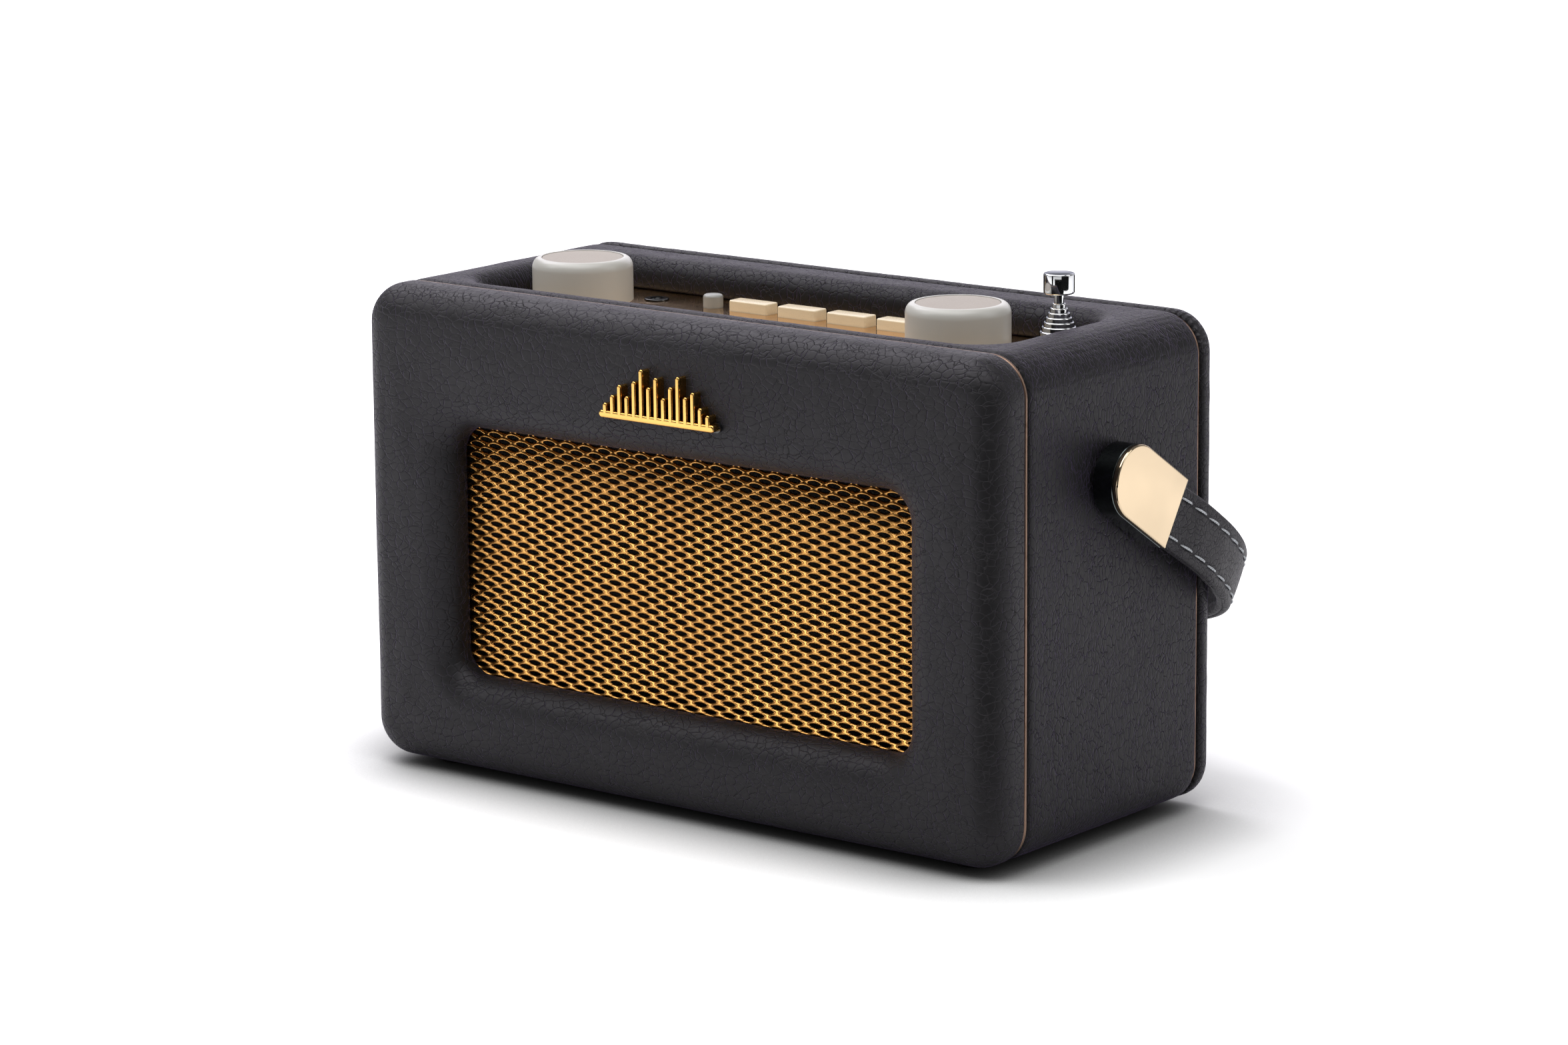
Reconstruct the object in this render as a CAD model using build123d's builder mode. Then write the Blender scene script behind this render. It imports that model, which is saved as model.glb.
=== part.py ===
from build123d import *
import os
from math import cos, sin, pi, radians, hypot, atan2, degrees

os.makedirs("parts", exist_ok=True)

# ---------------------------------------------------------------- driving dimensions (mm)
# frame: +X to the right seen from the front, +Y to the back, +Z up, z = 0 under the feet
W, D, H = 204.0, 93.5, 126.0          # leather-covered case: width, depth, height
foot_h = 2.0                          # rubber feet
yc = -17.665                          # middle of the case depth; the strap hangs behind it
z0 = foot_h                           # underside of the case
zt = z0 + H                           # top of the case
zc = z0 + H / 2
yf, yr = yc - D / 2, yc + D / 2       # front and rear faces
corner_r = 10.5                       # corner radius seen from the front
front_roll = 8.5                      # rounding of the padded front edge
bead_t = 1.2                          # copper trim ring between the panels and the case
fb0 = yf + 13.29 - bead_t / 2         # front bead starts
fb1 = fb0 + bead_t
rb0 = yr - 5.92 - bead_t / 2          # rear bead starts
rb1 = rb0 + bead_t
wall = 6.0                            # case side wall and floor
plate_z = z0 + 117.5                  # top face of the control plate
plate_t = 1.2
cav_w = W - 2 * wall                  # inner cavity
cav_z0, cav_z1 = z0 + wall, plate_z

# speaker opening
spk_w, spk_h, spk_r = 146.6, 66.1, 7.5
spk_z = z0 + 57.65
lip_d = 7.25                          # depth of the rolled lip
grille_y = yf + 9.6                   # front face of the grille
grille_t = 1.0

# control well in the top
well_w, well_d, well_r = 167.0, 51.0, 9.0
well_y = yc + 1.0
well_roll = 5.0

# knobs
knob_r, knob_top = 13.2, z0 + 130.1
vol_x, tun_x, knob_y = -65.0, 56.8, yc
# row of buttons
row_y = yc + 16.3
btn_w, btn_d, btn_top = 12.6, 5.0, plate_z + 2.85
btn_x = (-21.0, -5.0, 11.0, 27.0)
stby_x, stby_r, stby_top = -34.4, 2.63, plate_z + 3.5
jack_x = -53.5
btn_travel = 0.8

# aerial
aer_x, aer_y = 76.0, yc + 16.0
mast_r1, mast_step, mast_wall, n_mast = 4.9, 0.53, 0.45, 8
mast_top1, mast_rise = plate_z + 5.1, 1.16
mast_bot1 = z0 + 20.0
cap_r, cap_z0, cap_z1 = 3.9, z0 + 131.9, z0 + 137.1

# strap and its swivelling end brackets
piv_y, piv_z = yc + 1.5, z0 + 90.7
hang = radians(-32.5)                 # strap hangs back and down
br_w, br_len = 18.7, 19.9             # bracket width, centre of swivel to its straight end
br_x0, br_x1 = W / 2 + 1.0, W / 2 + 8.2
strap_w, strap_t = 16.6, 4.0

# inner parts
board_z, board_t = z0 + 101.4, 1.6


def xz(y):
    """Upright plane at depth y: local x is X, local y is Z, and it faces the front."""
    return Plane(origin=(0, y, 0), x_dir=(1, 0, 0), z_dir=(0, -1, 0))


# ================================================================ case and panels
with BuildPart() as cabinet_shell:
    # wooden sleeve with a leather skin
    with BuildSketch(xz(rb0)):
        with Locations((0, zc)):
            RectangleRounded(W, H, corner_r)
    extrude(amount=rb0 - fb1)
    fillet(cabinet_shell.faces().sort_by(Axis.Y)[0].edges(), radius=0.9)
    fillet(cabinet_shell.faces().sort_by(Axis.Y)[-1].edges(), radius=0.9)
    with BuildSketch(xz(rb0 + 1)):
        with Locations((0, (cav_z0 + cav_z1) / 2)):
            RectangleRounded(cav_w, cav_z1 - cav_z0, 2.0)
    extrude(amount=rb0 - fb1 + 2, mode=Mode.SUBTRACT)
    # control well through the top wall, with a soft rolled rim
    with BuildSketch(Plane.XY.offset(plate_z - 1)):
        with Locations((0, well_y)):
            RectangleRounded(well_w, well_d, well_r)
    extrude(amount=zt - plate_z + 2, mode=Mode.SUBTRACT)
    fillet(cabinet_shell.faces().sort_by(Axis.Z)[-1].inner_wires()[0].edges(), radius=well_roll)
    # holes for the strap pivots
    with BuildSketch(Plane.YZ.offset(-W)):
        with Locations((piv_y, piv_z)):
            Circle(2.6)
    extrude(amount=2 * W, mode=Mode.SUBTRACT)

with BuildPart() as front_panel:
    with BuildSketch(xz(fb0)):
        with Locations((0, zc)):
            RectangleRounded(W, H, corner_r)
    extrude(amount=fb0 - yf)
    fillet(front_panel.faces().sort_by(Axis.Y)[0].edges(), radius=front_roll)
    fillet(front_panel.faces().sort_by(Axis.Y)[-1].edges(), radius=0.9)
    with BuildSketch(xz(fb0 + 1)):
        with Locations((0, spk_z)):
            RectangleRounded(spk_w, spk_h, spk_r)
    extrude(amount=fb0 - yf + 2, mode=Mode.SUBTRACT)
    fillet(front_panel.faces().sort_by(Axis.Y)[0].inner_wires()[0].edges(), radius=lip_d)
    # rebate behind the lip that holds the grille
    with BuildSketch(xz(fb0)):
        with Locations((0, spk_z)):
            RectangleRounded(spk_w + 6.8, spk_h + 6.8, spk_r + 2)
    extrude(amount=fb0 - grille_y, mode=Mode.SUBTRACT)
    # pilot holes for the baffle screws
    with BuildSketch(xz(fb0)):
        with Locations((-88, z0 + 20), (88, z0 + 20), (-88, z0 + 104), (88, z0 + 104)):
            Circle(1.5)
    extrude(amount=4.5, mode=Mode.SUBTRACT)

with BuildPart() as front_bead:
    with BuildSketch(xz(fb1)):
        with Locations((0, zc)):
            RectangleRounded(W - 0.5, H - 0.5, corner_r - 0.25)
        with Locations((0, (cav_z0 + cav_z1) / 2)):
            RectangleRounded(cav_w, cav_z1 - cav_z0, 2.0, mode=Mode.SUBTRACT)
    extrude(amount=bead_t)

with BuildPart() as rear_bead:
    with BuildSketch(xz(rb1)):
        with Locations((0, zc)):
            RectangleRounded(W - 0.5, H - 0.5, corner_r - 0.25)
        with Locations((0, (cav_z0 + cav_z1) / 2)):
            RectangleRounded(cav_w, cav_z1 - cav_z0, 2.0, mode=Mode.SUBTRACT)
    extrude(amount=bead_t)

# battery door opening in the rear panel
door_w, door_z0, door_z1, door_t = 107.4, z0 + 8.9, z0 + 39.2, 2.2
door_y0 = yr - 0.3 - door_t
hinge_y, hinge_z = door_y0 + door_t / 2, door_z0 + 1.1
screw_pts = ((-89, z0 + 13.2), (89, z0 + 13.2), (-89, z0 + 109), (89, z0 + 109))
sock_x, sock_z = 74.0, z0 + 58.0

with BuildPart() as rear_panel:
    with BuildSketch(xz(yr)):
        with Locations((0, zc)):
            RectangleRounded(W, H, corner_r)
    extrude(amount=yr - rb1)
    fillet(rear_panel.faces().sort_by(Axis.Y)[-1].edges(), radius=3.2)
    fillet(rear_panel.faces().sort_by(Axis.Y)[0].edges(), radius=0.9)
    with BuildSketch(xz(yr + 1)):
        with Locations((0, (door_z0 + door_z1) / 2 - 0.25)):
            RectangleRounded(door_w + 0.6, door_z1 - door_z0 + 1.1, 0.6)
    extrude(amount=yr - rb1 + 2, mode=Mode.SUBTRACT)
    # sockets for the door's hinge trunnions
    with BuildSketch(Plane.YZ.offset(-door_w / 2 - 1.7)):
        with Locations((hinge_y, hinge_z)):
            Circle(1.05)
    extrude(amount=door_w + 3.4, mode=Mode.SUBTRACT)
    # socket window
    with BuildSketch(xz(yr + 1)):
        with Locations((sock_x, sock_z)):
            RectangleRounded(34.4, 16.4, 2.2)
    extrude(amount=yr - rb1 + 2, mode=Mode.SUBTRACT)
    # screw holes with counterbores
    with BuildSketch(xz(yr + 1)):
        with Locations(*screw_pts):
            Circle(1.6)
    extrude(amount=yr - rb1 + 2, mode=Mode.SUBTRACT)
    with BuildSketch(xz(yr)):
        with Locations(*screw_pts):
            Circle(3.1)
    extrude(amount=2.3, mode=Mode.SUBTRACT)

with BuildPart() as corner_blocks:
    # wooden cleats that take the rear screws
    with BuildSketch(xz(rb1 - 0.1)):
        with Locations((-88.8, z0 + 13.4), (88.8, z0 + 13.4), (-88.8, z0 + 108.6), (88.8, z0 + 108.6)):
            Rectangle(13.0, 13.0)
    extrude(amount=16.0)
    with BuildSketch(xz(rb1 - 0.1)):
        with Locations(*screw_pts):
            Circle(1.5)
    extrude(amount=8.0, mode=Mode.SUBTRACT)

with BuildPart() as rubber_feet:
    with BuildSketch(Plane.XY):
        with Locations((-84, yc - 30), (84, yc - 30), (-84, yc + 30), (84, yc + 30)):
            Circle(6.0)
    extrude(amount=foot_h)
    fillet(rubber_feet.faces().filter_by(Axis.Z).group_by(Axis.Z)[0].edges(), radius=0.6)

# ================================================================ speaker
baf0, baf1 = fb0, fb0 + 6.0
baf_z0, baf_z1 = cav_z0 + 0.2, plate_z - plate_t - 0.4
spk_hole_r, spk_flange_r, flange_t = 33.0, 41.0, 3.0
spk_screw_pts = [(37.5 * cos(radians(a)), spk_z + 37.5 * sin(radians(a))) for a in (45, 135, 225, 315)]

with BuildPart() as baffle_board:
    with BuildSketch(xz(baf1)):
        with Locations((0, (baf_z0 + baf_z1) / 2)):
            RectangleRounded(cav_w - 0.4, baf_z1 - baf_z0, 2.0)
        with Locations((0, spk_z)):
            Circle(spk_hole_r, mode=Mode.SUBTRACT)
        with Locations(*spk_screw_pts):
            Circle(1.5, mode=Mode.SUBTRACT)
        with Locations((-88, z0 + 20), (88, z0 + 20), (-88, z0 + 104), (88, z0 + 104)):
            Circle(1.6, mode=Mode.SUBTRACT)
    extrude(amount=baf1 - baf0)

# grille sheet: staggered rows of diamond holes
pitch_x, pitch_z = 12.26, 5.85
with BuildPart() as speaker_grille:
    with BuildSketch(xz(grille_y + grille_t)):
        with Locations((0, spk_z)):
            RectangleRounded(spk_w + 6.2, spk_h + 6.2, spk_r + 1.7)
        for nx, nz in ((12, 11), (11, 12)):
            with Locations((0, spk_z)):
                with GridLocations(pitch_x, pitch_z, nx, nz):
                    Polygon((-4.4, 0), (0, -2.1), (4.4, 0), (0, 2.1), align=None, mode=Mode.SUBTRACT)
    extrude(amount=grille_t)

with BuildPart() as dust_cloth:
    with BuildSketch(xz(fb0)):
        with Locations((0, spk_z)):
            RectangleRounded(spk_w + 5.8, spk_h + 5.8, spk_r + 1.5)
    extrude(amount=0.4)

spk_axis = Axis((0, 0, spk_z), (0, 1, 0))
with BuildPart() as speaker_basket:
    with BuildSketch(Plane.XY.offset(spk_z)):
        Polygon((33.4, baf1), (spk_flange_r, baf1), (spk_flange_r, baf1 + flange_t), (34.3, baf1 + flange_t),
                (24.0, baf1 + 19.0), (24.0, baf1 + 21.0), (9.5, baf1 + 21.0), (9.5, baf1 + 19.0), (22.4, baf1 + 19.0),
                (33.3, baf1 + 3.0), align=None)
    revolve(axis=spk_axis)
    with BuildSketch(xz(baf1 + flange_t)):
        with Locations(*spk_screw_pts):
            Circle(1.6)
    extrude(amount=flange_t, mode=Mode.SUBTRACT)
    # four windows in the basket
    with BuildSketch(xz(baf1 + 17.5)):
        with Locations((0, spk_z)):
            with PolarLocations(28.0, 4):
                Rectangle(16.0, 20.0)
    extrude(amount=12.5, mode=Mode.SUBTRACT)

with BuildPart() as speaker_cone:
    # paper cone, rolled surround and dust cap in one moulding
    with BuildSketch(Plane.XY.offset(spk_z)):
        with BuildLine():
            Polyline((0, baf1 + 9.4), (7.0, baf1 + 10.8), (9.0, baf1 + 13.0), (25.0, baf1 + 2.6))
            ThreePointArc((25.0, baf1 + 2.6), (28.8, baf1 - 0.2), (32.6, baf1 + 2.0))
            Polyline((32.6, baf1 + 2.0), (33.2, baf1 + 2.0), (33.2, baf1 + 2.9), (32.0, baf1 + 2.9))
            ThreePointArc((32.0, baf1 + 2.9), (28.8, baf1 + 0.7), (25.6, baf1 + 3.4))
            Polyline((25.6, baf1 + 3.4), (9.2, baf1 + 14.4), (9.2, baf1 + 18.6), (8.2, baf1 + 18.6), (8.2, baf1 + 13.6),
                     (6.6, baf1 + 11.6), (0, baf1 + 10.2), (0, baf1 + 9.4))
        make_face()
    revolve(axis=spk_axis)

with BuildPart() as speaker_magnet:
    with BuildSketch(Plane.XY.offset(spk_z)):
        Polygon((9.5, baf1 + 21.1), (22.5, baf1 + 21.1), (22.5, baf1 + 33.0), (0, baf1 + 33.0), (0, baf1 + 31.0),
                (0, baf1 + 20.0), (7.4, baf1 + 20.0), (7.4, baf1 + 29.0), (9.5, baf1 + 29.0), align=None)
    revolve(axis=spk_axis)
    chamfer(speaker_magnet.faces().sort_by(Axis.Y)[-1].edges(), length=1.0)

with BuildPart() as case_screws:
    # one size of pan-head screw throughout: rear panel, baffle board and speaker
    for y_head, pts, shank in ((yr - 2.3, screw_pts, 8.8),):
        with BuildSketch(xz(y_head + 1.9)):
            with Locations(*pts):
                Circle(2.8)
        extrude(amount=1.9)
        with BuildSketch(xz(y_head)):
            with Locations(*pts):
                Circle(1.4)
        extrude(amount=shank)
    for y_head, pts, shank in ((baf1, ((-88, z0 + 20), (88, z0 + 20), (-88, z0 + 104), (88, z0 + 104)), 8.8),
                               (baf1 + flange_t, spk_screw_pts, 8.8)):
        with BuildSketch(xz(y_head + 1.9)):
            with Locations(*pts):
                Circle(2.8)
        extrude(amount=1.9)
        with BuildSketch(xz(y_head)):
            with Locations(*pts):
                Circle(1.4)
        extrude(amount=shank)
    # cross recess in the rear heads
    with BuildSketch(xz(yr - 0.4)):
        with Locations(*screw_pts):
            Rectangle(3.2, 0.8)
            Rectangle(0.8, 3.2)
    extrude(amount=1.0, mode=Mode.SUBTRACT)

# ================================================================ front ornament
orn_x, orn_z = 0.35, z0 + 105.0
with BuildPart() as emblem_plate:
    with BuildSketch(xz(yf)):
        with Locations((orn_x, orn_z - 3.6)):
            SlotOverall(38.0, 2.6)
    extrude(amount=0.8)

rod_h = (3.4, 5.6, 8.4, 5.8, 9.8, 13.0, 8.8, 11.4, 6.6, 9.6, 12.4, 7.6, 9.0, 5.4, 3.8)
rod_step, rod_w = 2.35, 1.15
with BuildPart() as emblem_ornament:
    # rods of a sound wave, standing on a slim bar
    with BuildSketch(xz(yf - 0.8)):
        with Locations((orn_x, orn_z - 3.6)):
            SlotOverall(37.0, 1.9)
    extrude(amount=2.2)
    with BuildSketch(xz(yf)):
        for i, h in enumerate(rod_h):
            with Locations((orn_x + rod_step * (i - 7), orn_z - 4.15 + h / 2)):
                SlotOverall(h, rod_w, rotation=90)
    extrude(amount=3.0)
    # seat for the dark back plate
    with BuildSketch(xz(yf)):
        with Locations((orn_x, orn_z - 3.6)):
            SlotOverall(38.2, 2.8)
    extrude(amount=0.8, mode=Mode.SUBTRACT)

# ================================================================ control plate and display
win_x, win_y, win_w, win_d = -4.0, yc - 7.5, 58.0, 22.0
with BuildPart() as control_plate:
    with BuildSketch(Plane.XY.offset(plate_z - plate_t)):
        with Locations((0, well_y + 0.5)):
            RectangleRounded(176.0, 58.8, 6.0)
        with Locations((win_x, win_y)):
            RectangleRounded(win_w + 0.2, win_d + 0.2, 2.1, mode=Mode.SUBTRACT)
        with Locations((vol_x, knob_y), (tun_x, knob_y)):
            Circle(3.6, mode=Mode.SUBTRACT)
        with Locations(*[(x, row_y) for x in btn_x]):
            RectangleRounded(btn_w + 0.4, btn_d + 0.4, 0.8, mode=Mode.SUBTRACT)
        with Locations((stby_x, row_y)):
            Circle(stby_r + 0.2, mode=Mode.SUBTRACT)
        with Locations((jack_x, row_y)):
            Circle(2.9, mode=Mode.SUBTRACT)
        with Locations((aer_x, aer_y)):
            Circle(5.85, mode=Mode.SUBTRACT)
    extrude(amount=plate_t)

with BuildPart() as display_window:
    with BuildSketch(Plane.XY.offset(plate_z - plate_t)):
        with Locations((win_x, win_y)):
            RectangleRounded(win_w, win_d, 2.0)
    extrude(amount=plate_t + 0.2)
    chamfer(display_window.faces().sort_by(Axis.Z)[-1].edges(), length=0.15)

with BuildPart() as display_module:
    with BuildSketch(Plane.XY.offset(plate_z - plate_t - 5.0)):
        with Locations((win_x, win_y)):
            Rectangle(win_w + 4, win_d + 4)
    extrude(amount=4.9)
    with BuildSketch(Plane.XY.offset(plate_z - plate_t - 0.1)):
        with Locations((win_x, win_y)):
            Rectangle(win_w - 6, win_d - 5)
    extrude(amount=-0.6, mode=Mode.SUBTRACT)

with BuildPart() as main_board:
    with BuildSketch(Plane.XY.offset(board_z)):
        with Locations((-7, yc + 3)):
            RectangleRounded(146.0, 46.0, 2.0)
    extrude(amount=board_t)

board_top = board_z + board_t
with BuildPart() as board_posts:
    with BuildSketch(Plane.XY.offset(board_top)):
        with Locations((-76, yc - 16), (62, yc - 16), (-76, yc + 22), (62, yc + 22)):
            Circle(2.8)
    extrude(amount=plate_z - plate_t - board_top)

# ================================================================ knobs, shafts and encoders
bush_top = plate_z - 0.4
knob_bot = plate_z + 1.1


def knob_profile(x):
    """Half section of a hollow knob on the axis x."""
    with BuildLine() as outline:
        Polyline((x + 11.2, knob_bot), (x + knob_r, knob_bot), (x + knob_r - 0.35, knob_top - 3.0))
        ThreePointArc((x + knob_r - 0.35, knob_top - 3.0), (x + knob_r - 0.35 - 0.62, knob_top - 0.62), (x + 10.9, knob_top))
        Polyline((x + 10.9, knob_top), (x + 10.75, knob_top - 0.25), (x + 10.75, knob_top - 1.4), (x + 3.02, knob_top - 1.4),
                 (x + 3.02, knob_bot + 0.6), (x + 5.0, knob_bot + 0.6), (x + 5.0, knob_top - 3.2), (x + 10.6, knob_top - 3.2),
                 (x + 11.2, knob_bot))
    return outline.line


def half_plane():
    """Upright plane through the knob axes: local x is X, local y is Z."""
    return xz(knob_y)


with BuildPart() as volume_knob:
    with BuildSketch(half_plane()):
        with BuildLine():
            add(knob_profile(vol_x))
        make_face()
    revolve(axis=Axis((vol_x, knob_y, 0), (0, 0, 1)))

with BuildPart() as volume_knob_cap:
    with BuildSketch(Plane.XY.offset(knob_top - 1.35)):
        with Locations((vol_x, knob_y)):
            Circle(10.68)
    extrude(amount=1.0)
    chamfer(volume_knob_cap.faces().sort_by(Axis.Z)[-1].edges(), length=0.12)

with BuildPart() as tuning_knob:
    with BuildSketch(half_plane()):
        with BuildLine():
            add(knob_profile(tun_x))
        make_face()
    revolve(axis=Axis((tun_x, knob_y, 0), (0, 0, 1)))

with BuildPart() as tuning_knob_cap:
    with BuildSketch(Plane.XY.offset(knob_top - 1.35)):
        with Locations((tun_x, knob_y)):
            Circle(10.68)
    extrude(amount=1.0)
    chamfer(tuning_knob_cap.faces().sort_by(Axis.Z)[-1].edges(), length=0.12)

with BuildPart() as volume_shaft:
    with BuildSketch(Plane.XY.offset(board_top + 2.6)):
        with Locations((vol_x, knob_y)):
            Circle(3.0)
    extrude(amount=knob_top - 1.5 - board_top - 2.6)
    with BuildSketch(Plane.XY.offset(board_top + 4.2)):
        with Locations((vol_x, knob_y)):
            Circle(3.9)
    extrude(amount=1.0)

with BuildPart() as tuning_shaft:
    with BuildSketch(Plane.XY.offset(board_top + 2.6)):
        with Locations((tun_x, knob_y)):
            Circle(3.0)
    extrude(amount=knob_top - 1.5 - board_top - 2.6)
    with BuildSketch(Plane.XY.offset(board_top + 4.2)):
        with Locations((tun_x, knob_y)):
            Circle(3.9)
    extrude(amount=1.0)

with BuildPart() as tuning_push_collar:
    # ring under the shaft's shoulder that works the push switch
    with BuildSketch(Plane.XY.offset(board_top + 3.0)):
        with Locations((tun_x, knob_y)):
            Circle(4.6)
            Circle(3.05, mode=Mode.SUBTRACT)
    extrude(amount=1.15)

with BuildPart() as volume_encoder:
    with BuildSketch(Plane.XY.offset(board_top)):
        with Locations((vol_x, knob_y)):
            Rectangle(12.4, 13.0)
    extrude(amount=6.5)
    with BuildSketch(Plane.XY.offset(board_top + 6.5)):
        with Locations((vol_x, knob_y)):
            Circle(3.5)
    extrude(amount=bush_top - board_top - 6.5)
    with BuildSketch(Plane.XY.offset(board_top + 1.6)):
        with Locations((vol_x, knob_y)):
            Circle(3.05)
    extrude(amount=bush_top - board_top, mode=Mode.SUBTRACT)
    with BuildSketch(Plane.XY.offset(board_top + 2.2)):
        with Locations((vol_x, knob_y)):
            Circle(4.75)
    extrude(amount=3.3, mode=Mode.SUBTRACT)

with BuildPart() as tuning_encoder:
    with BuildSketch(Plane.XY.offset(board_top)):
        with Locations((tun_x, knob_y)):
            Rectangle(12.4, 13.0)
    extrude(amount=6.5)
    with BuildSketch(Plane.XY.offset(board_top + 6.5)):
        with Locations((tun_x, knob_y)):
            Circle(3.5)
    extrude(amount=bush_top - board_top - 6.5)
    with BuildSketch(Plane.XY.offset(board_top + 1.6)):
        with Locations((tun_x, knob_y)):
            Circle(3.05)
    extrude(amount=bush_top - board_top, mode=Mode.SUBTRACT)
    with BuildSketch(Plane.XY.offset(board_top + 2.2)):
        with Locations((tun_x, knob_y)):
            Circle(4.75)
    extrude(amount=3.3, mode=Mode.SUBTRACT)

# ================================================================ push buttons and switches
fl_top = plate_z - plate_t - 0.1      # retaining flange just under the plate
stem_bot = board_top + 8.4

preset_buttons = []
for x in btn_x:
    with BuildPart() as preset:
        with BuildSketch(Plane.XY.offset(fl_top - 1.2)):
            with Locations((x, row_y)):
                RectangleRounded(btn_w + 1.8, btn_d + 2.0, 0.8)
        extrude(amount=1.2)
        with BuildSketch(Plane.XY.offset(fl_top)):
            with Locations((x, row_y)):
                RectangleRounded(btn_w, btn_d, 0.6)
        extrude(amount=btn_top - fl_top)
        fillet(preset.faces().sort_by(Axis.Z)[-1].edges(), radius=0.35)
        with BuildSketch(Plane.XY.offset(stem_bot)):
            with Locations((x, row_y)):
                Rectangle(3.0, 3.0)
        extrude(amount=fl_top - 1.2 - stem_bot)
    preset_buttons.append(preset)
preset_button_1, preset_button_2, preset_button_3, preset_button_4 = preset_buttons

with BuildPart() as standby_button:
    with BuildSketch(Plane.XY.offset(fl_top - 1.2)):
        with Locations((stby_x, row_y)):
            Circle(stby_r + 1.0)
    extrude(amount=1.2)
    with BuildSketch(Plane.XY.offset(fl_top)):
        with Locations((stby_x, row_y)):
            Circle(stby_r)
    extrude(amount=stby_top - fl_top)
    fillet(standby_button.faces().sort_by(Axis.Z)[-1].edges(), radius=0.6)
    with BuildSketch(Plane.XY.offset(stem_bot)):
        with Locations((stby_x, row_y)):
            Circle(1.5)
    extrude(amount=fl_top - 1.2 - stem_bot)

with BuildPart() as tact_switches:
    with BuildSketch(Plane.XY.offset(board_top)):
        with Locations(*[(x, row_y) for x in (stby_x,) + btn_x]):
            Rectangle(6.0, 6.0)
    extrude(amount=3.5)
    with BuildSketch(Plane.XY.offset(board_top + 3.5)):
        with Locations(*[(x, row_y) for x in (stby_x,) + btn_x]):
            Circle(1.7)
    extrude(amount=4.0)

with BuildPart() as headphone_socket:
    with BuildSketch(Plane.XY.offset(plate_z - 1.0)):
        with Locations((jack_x, row_y)):
            Circle(2.8)
    extrude(amount=1.0)
    with BuildSketch(Plane.XY.offset(plate_z)):
        with Locations((jack_x, row_y)):
            Circle(3.3)
    extrude(amount=0.5)
    fillet(headphone_socket.faces().sort_by(Axis.Z)[-1].edges(), radius=0.25)
    with BuildSketch(Plane.XY.offset(board_top)):
        with Locations((jack_x, row_y - 1)):
            Rectangle(8.0, 9.0)
    extrude(amount=plate_z - plate_t - board_top)
    with BuildSketch(Plane.XY.offset(plate_z - plate_t)):
        with Locations((jack_x, row_y)):
            Circle(2.8)
    extrude(amount=0.3)
    with BuildSketch(Plane.XY.offset(plate_z - 12.0)):
        with Locations((jack_x, row_y)):
            Circle(1.8)
    extrude(amount=13.0, mode=Mode.SUBTRACT)

# ================================================================ aerial
guide_ri, guide_ro = 5.35, 6.2
with BuildPart() as aerial_flange:
    with BuildSketch(Plane.XY.offset(plate_z)):
        with Locations((aer_x, aer_y)):
            Circle(6.5)
    extrude(amount=3.4)
    chamfer(aerial_flange.faces().sort_by(Axis.Z)[-1].edges(), length=0.8)
    with BuildSketch(Plane.XY.offset(plate_z - plate_t - 1.2)):
        with Locations((aer_x, aer_y)):
            Circle(5.8)
    extrude(amount=plate_t + 1.2)
    with BuildSketch(Plane.XY.offset(plate_z - plate_t - 2)):
        with Locations((aer_x, aer_y)):
            Circle(mast_r1 + 0.05)
    extrude(amount=10, mode=Mode.SUBTRACT)

with BuildPart() as aerial_guide_tube:
    with BuildSketch(Plane.XY.offset(cav_z0)):
        with Locations((aer_x, aer_y)):
            Circle(guide_ro)
    extrude(amount=1.2)
    with BuildSketch(Plane.XY.offset(cav_z0 + 1.2)):
        with Locations((aer_x, aer_y)):
            Circle(guide_ro)
            Circle(guide_ri, mode=Mode.SUBTRACT)
    extrude(amount=plate_z - plate_t - 1.3 - cav_z0 - 1.2)

foot_z0 = cav_z0 + 1.6
with BuildPart() as aerial_slip_ring:
    # split friction sleeve that travels with the mast in the guide tube
    with BuildSketch(Plane.XY.offset(foot_z0 + 1.6)):
        with Locations((aer_x, aer_y)):
            Circle(guide_ri - 0.05)
            Circle(4.15, mode=Mode.SUBTRACT)
    extrude(amount=3.0)

with BuildPart() as aerial_foot:
    # swivelling plug with a clevis for the tilt pin
    with BuildSketch(Plane.XY.offset(foot_z0)):
        with Locations((aer_x, aer_y)):
            Circle(5.15)
    extrude(amount=1.5)
    with BuildSketch(Plane.XY.offset(foot_z0 + 1.5)):
        with Locations((aer_x, aer_y)):
            Circle(4.1)
    extrude(amount=3.2)
    with BuildSketch(Plane.XY.offset(foot_z0 + 4.7)):
        with Locations((aer_x, aer_y)):
            Circle(4.8)
    extrude(amount=mast_bot1 - 0.2 - foot_z0 - 4.7)
    # slot between the clevis ears
    with BuildSketch(Plane.XY.offset(foot_z0 + 6.2)):
        with Locations((aer_x, aer_y)):
            Rectangle(3.2, 12)
    extrude(amount=10, mode=Mode.SUBTRACT)
    with BuildSketch(Plane.YZ.offset(aer_x - 8)):
        with Locations((aer_y, foot_z0 + 8.6)):
            Circle(1.02)
    extrude(amount=16, mode=Mode.SUBTRACT)

with BuildPart() as aerial_hinge_pin:
    with BuildSketch(Plane.YZ.offset(aer_x - 4.4)):
        with Locations((aer_y, foot_z0 + 8.6)):
            Circle(1.0)
    extrude(amount=8.8)

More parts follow.
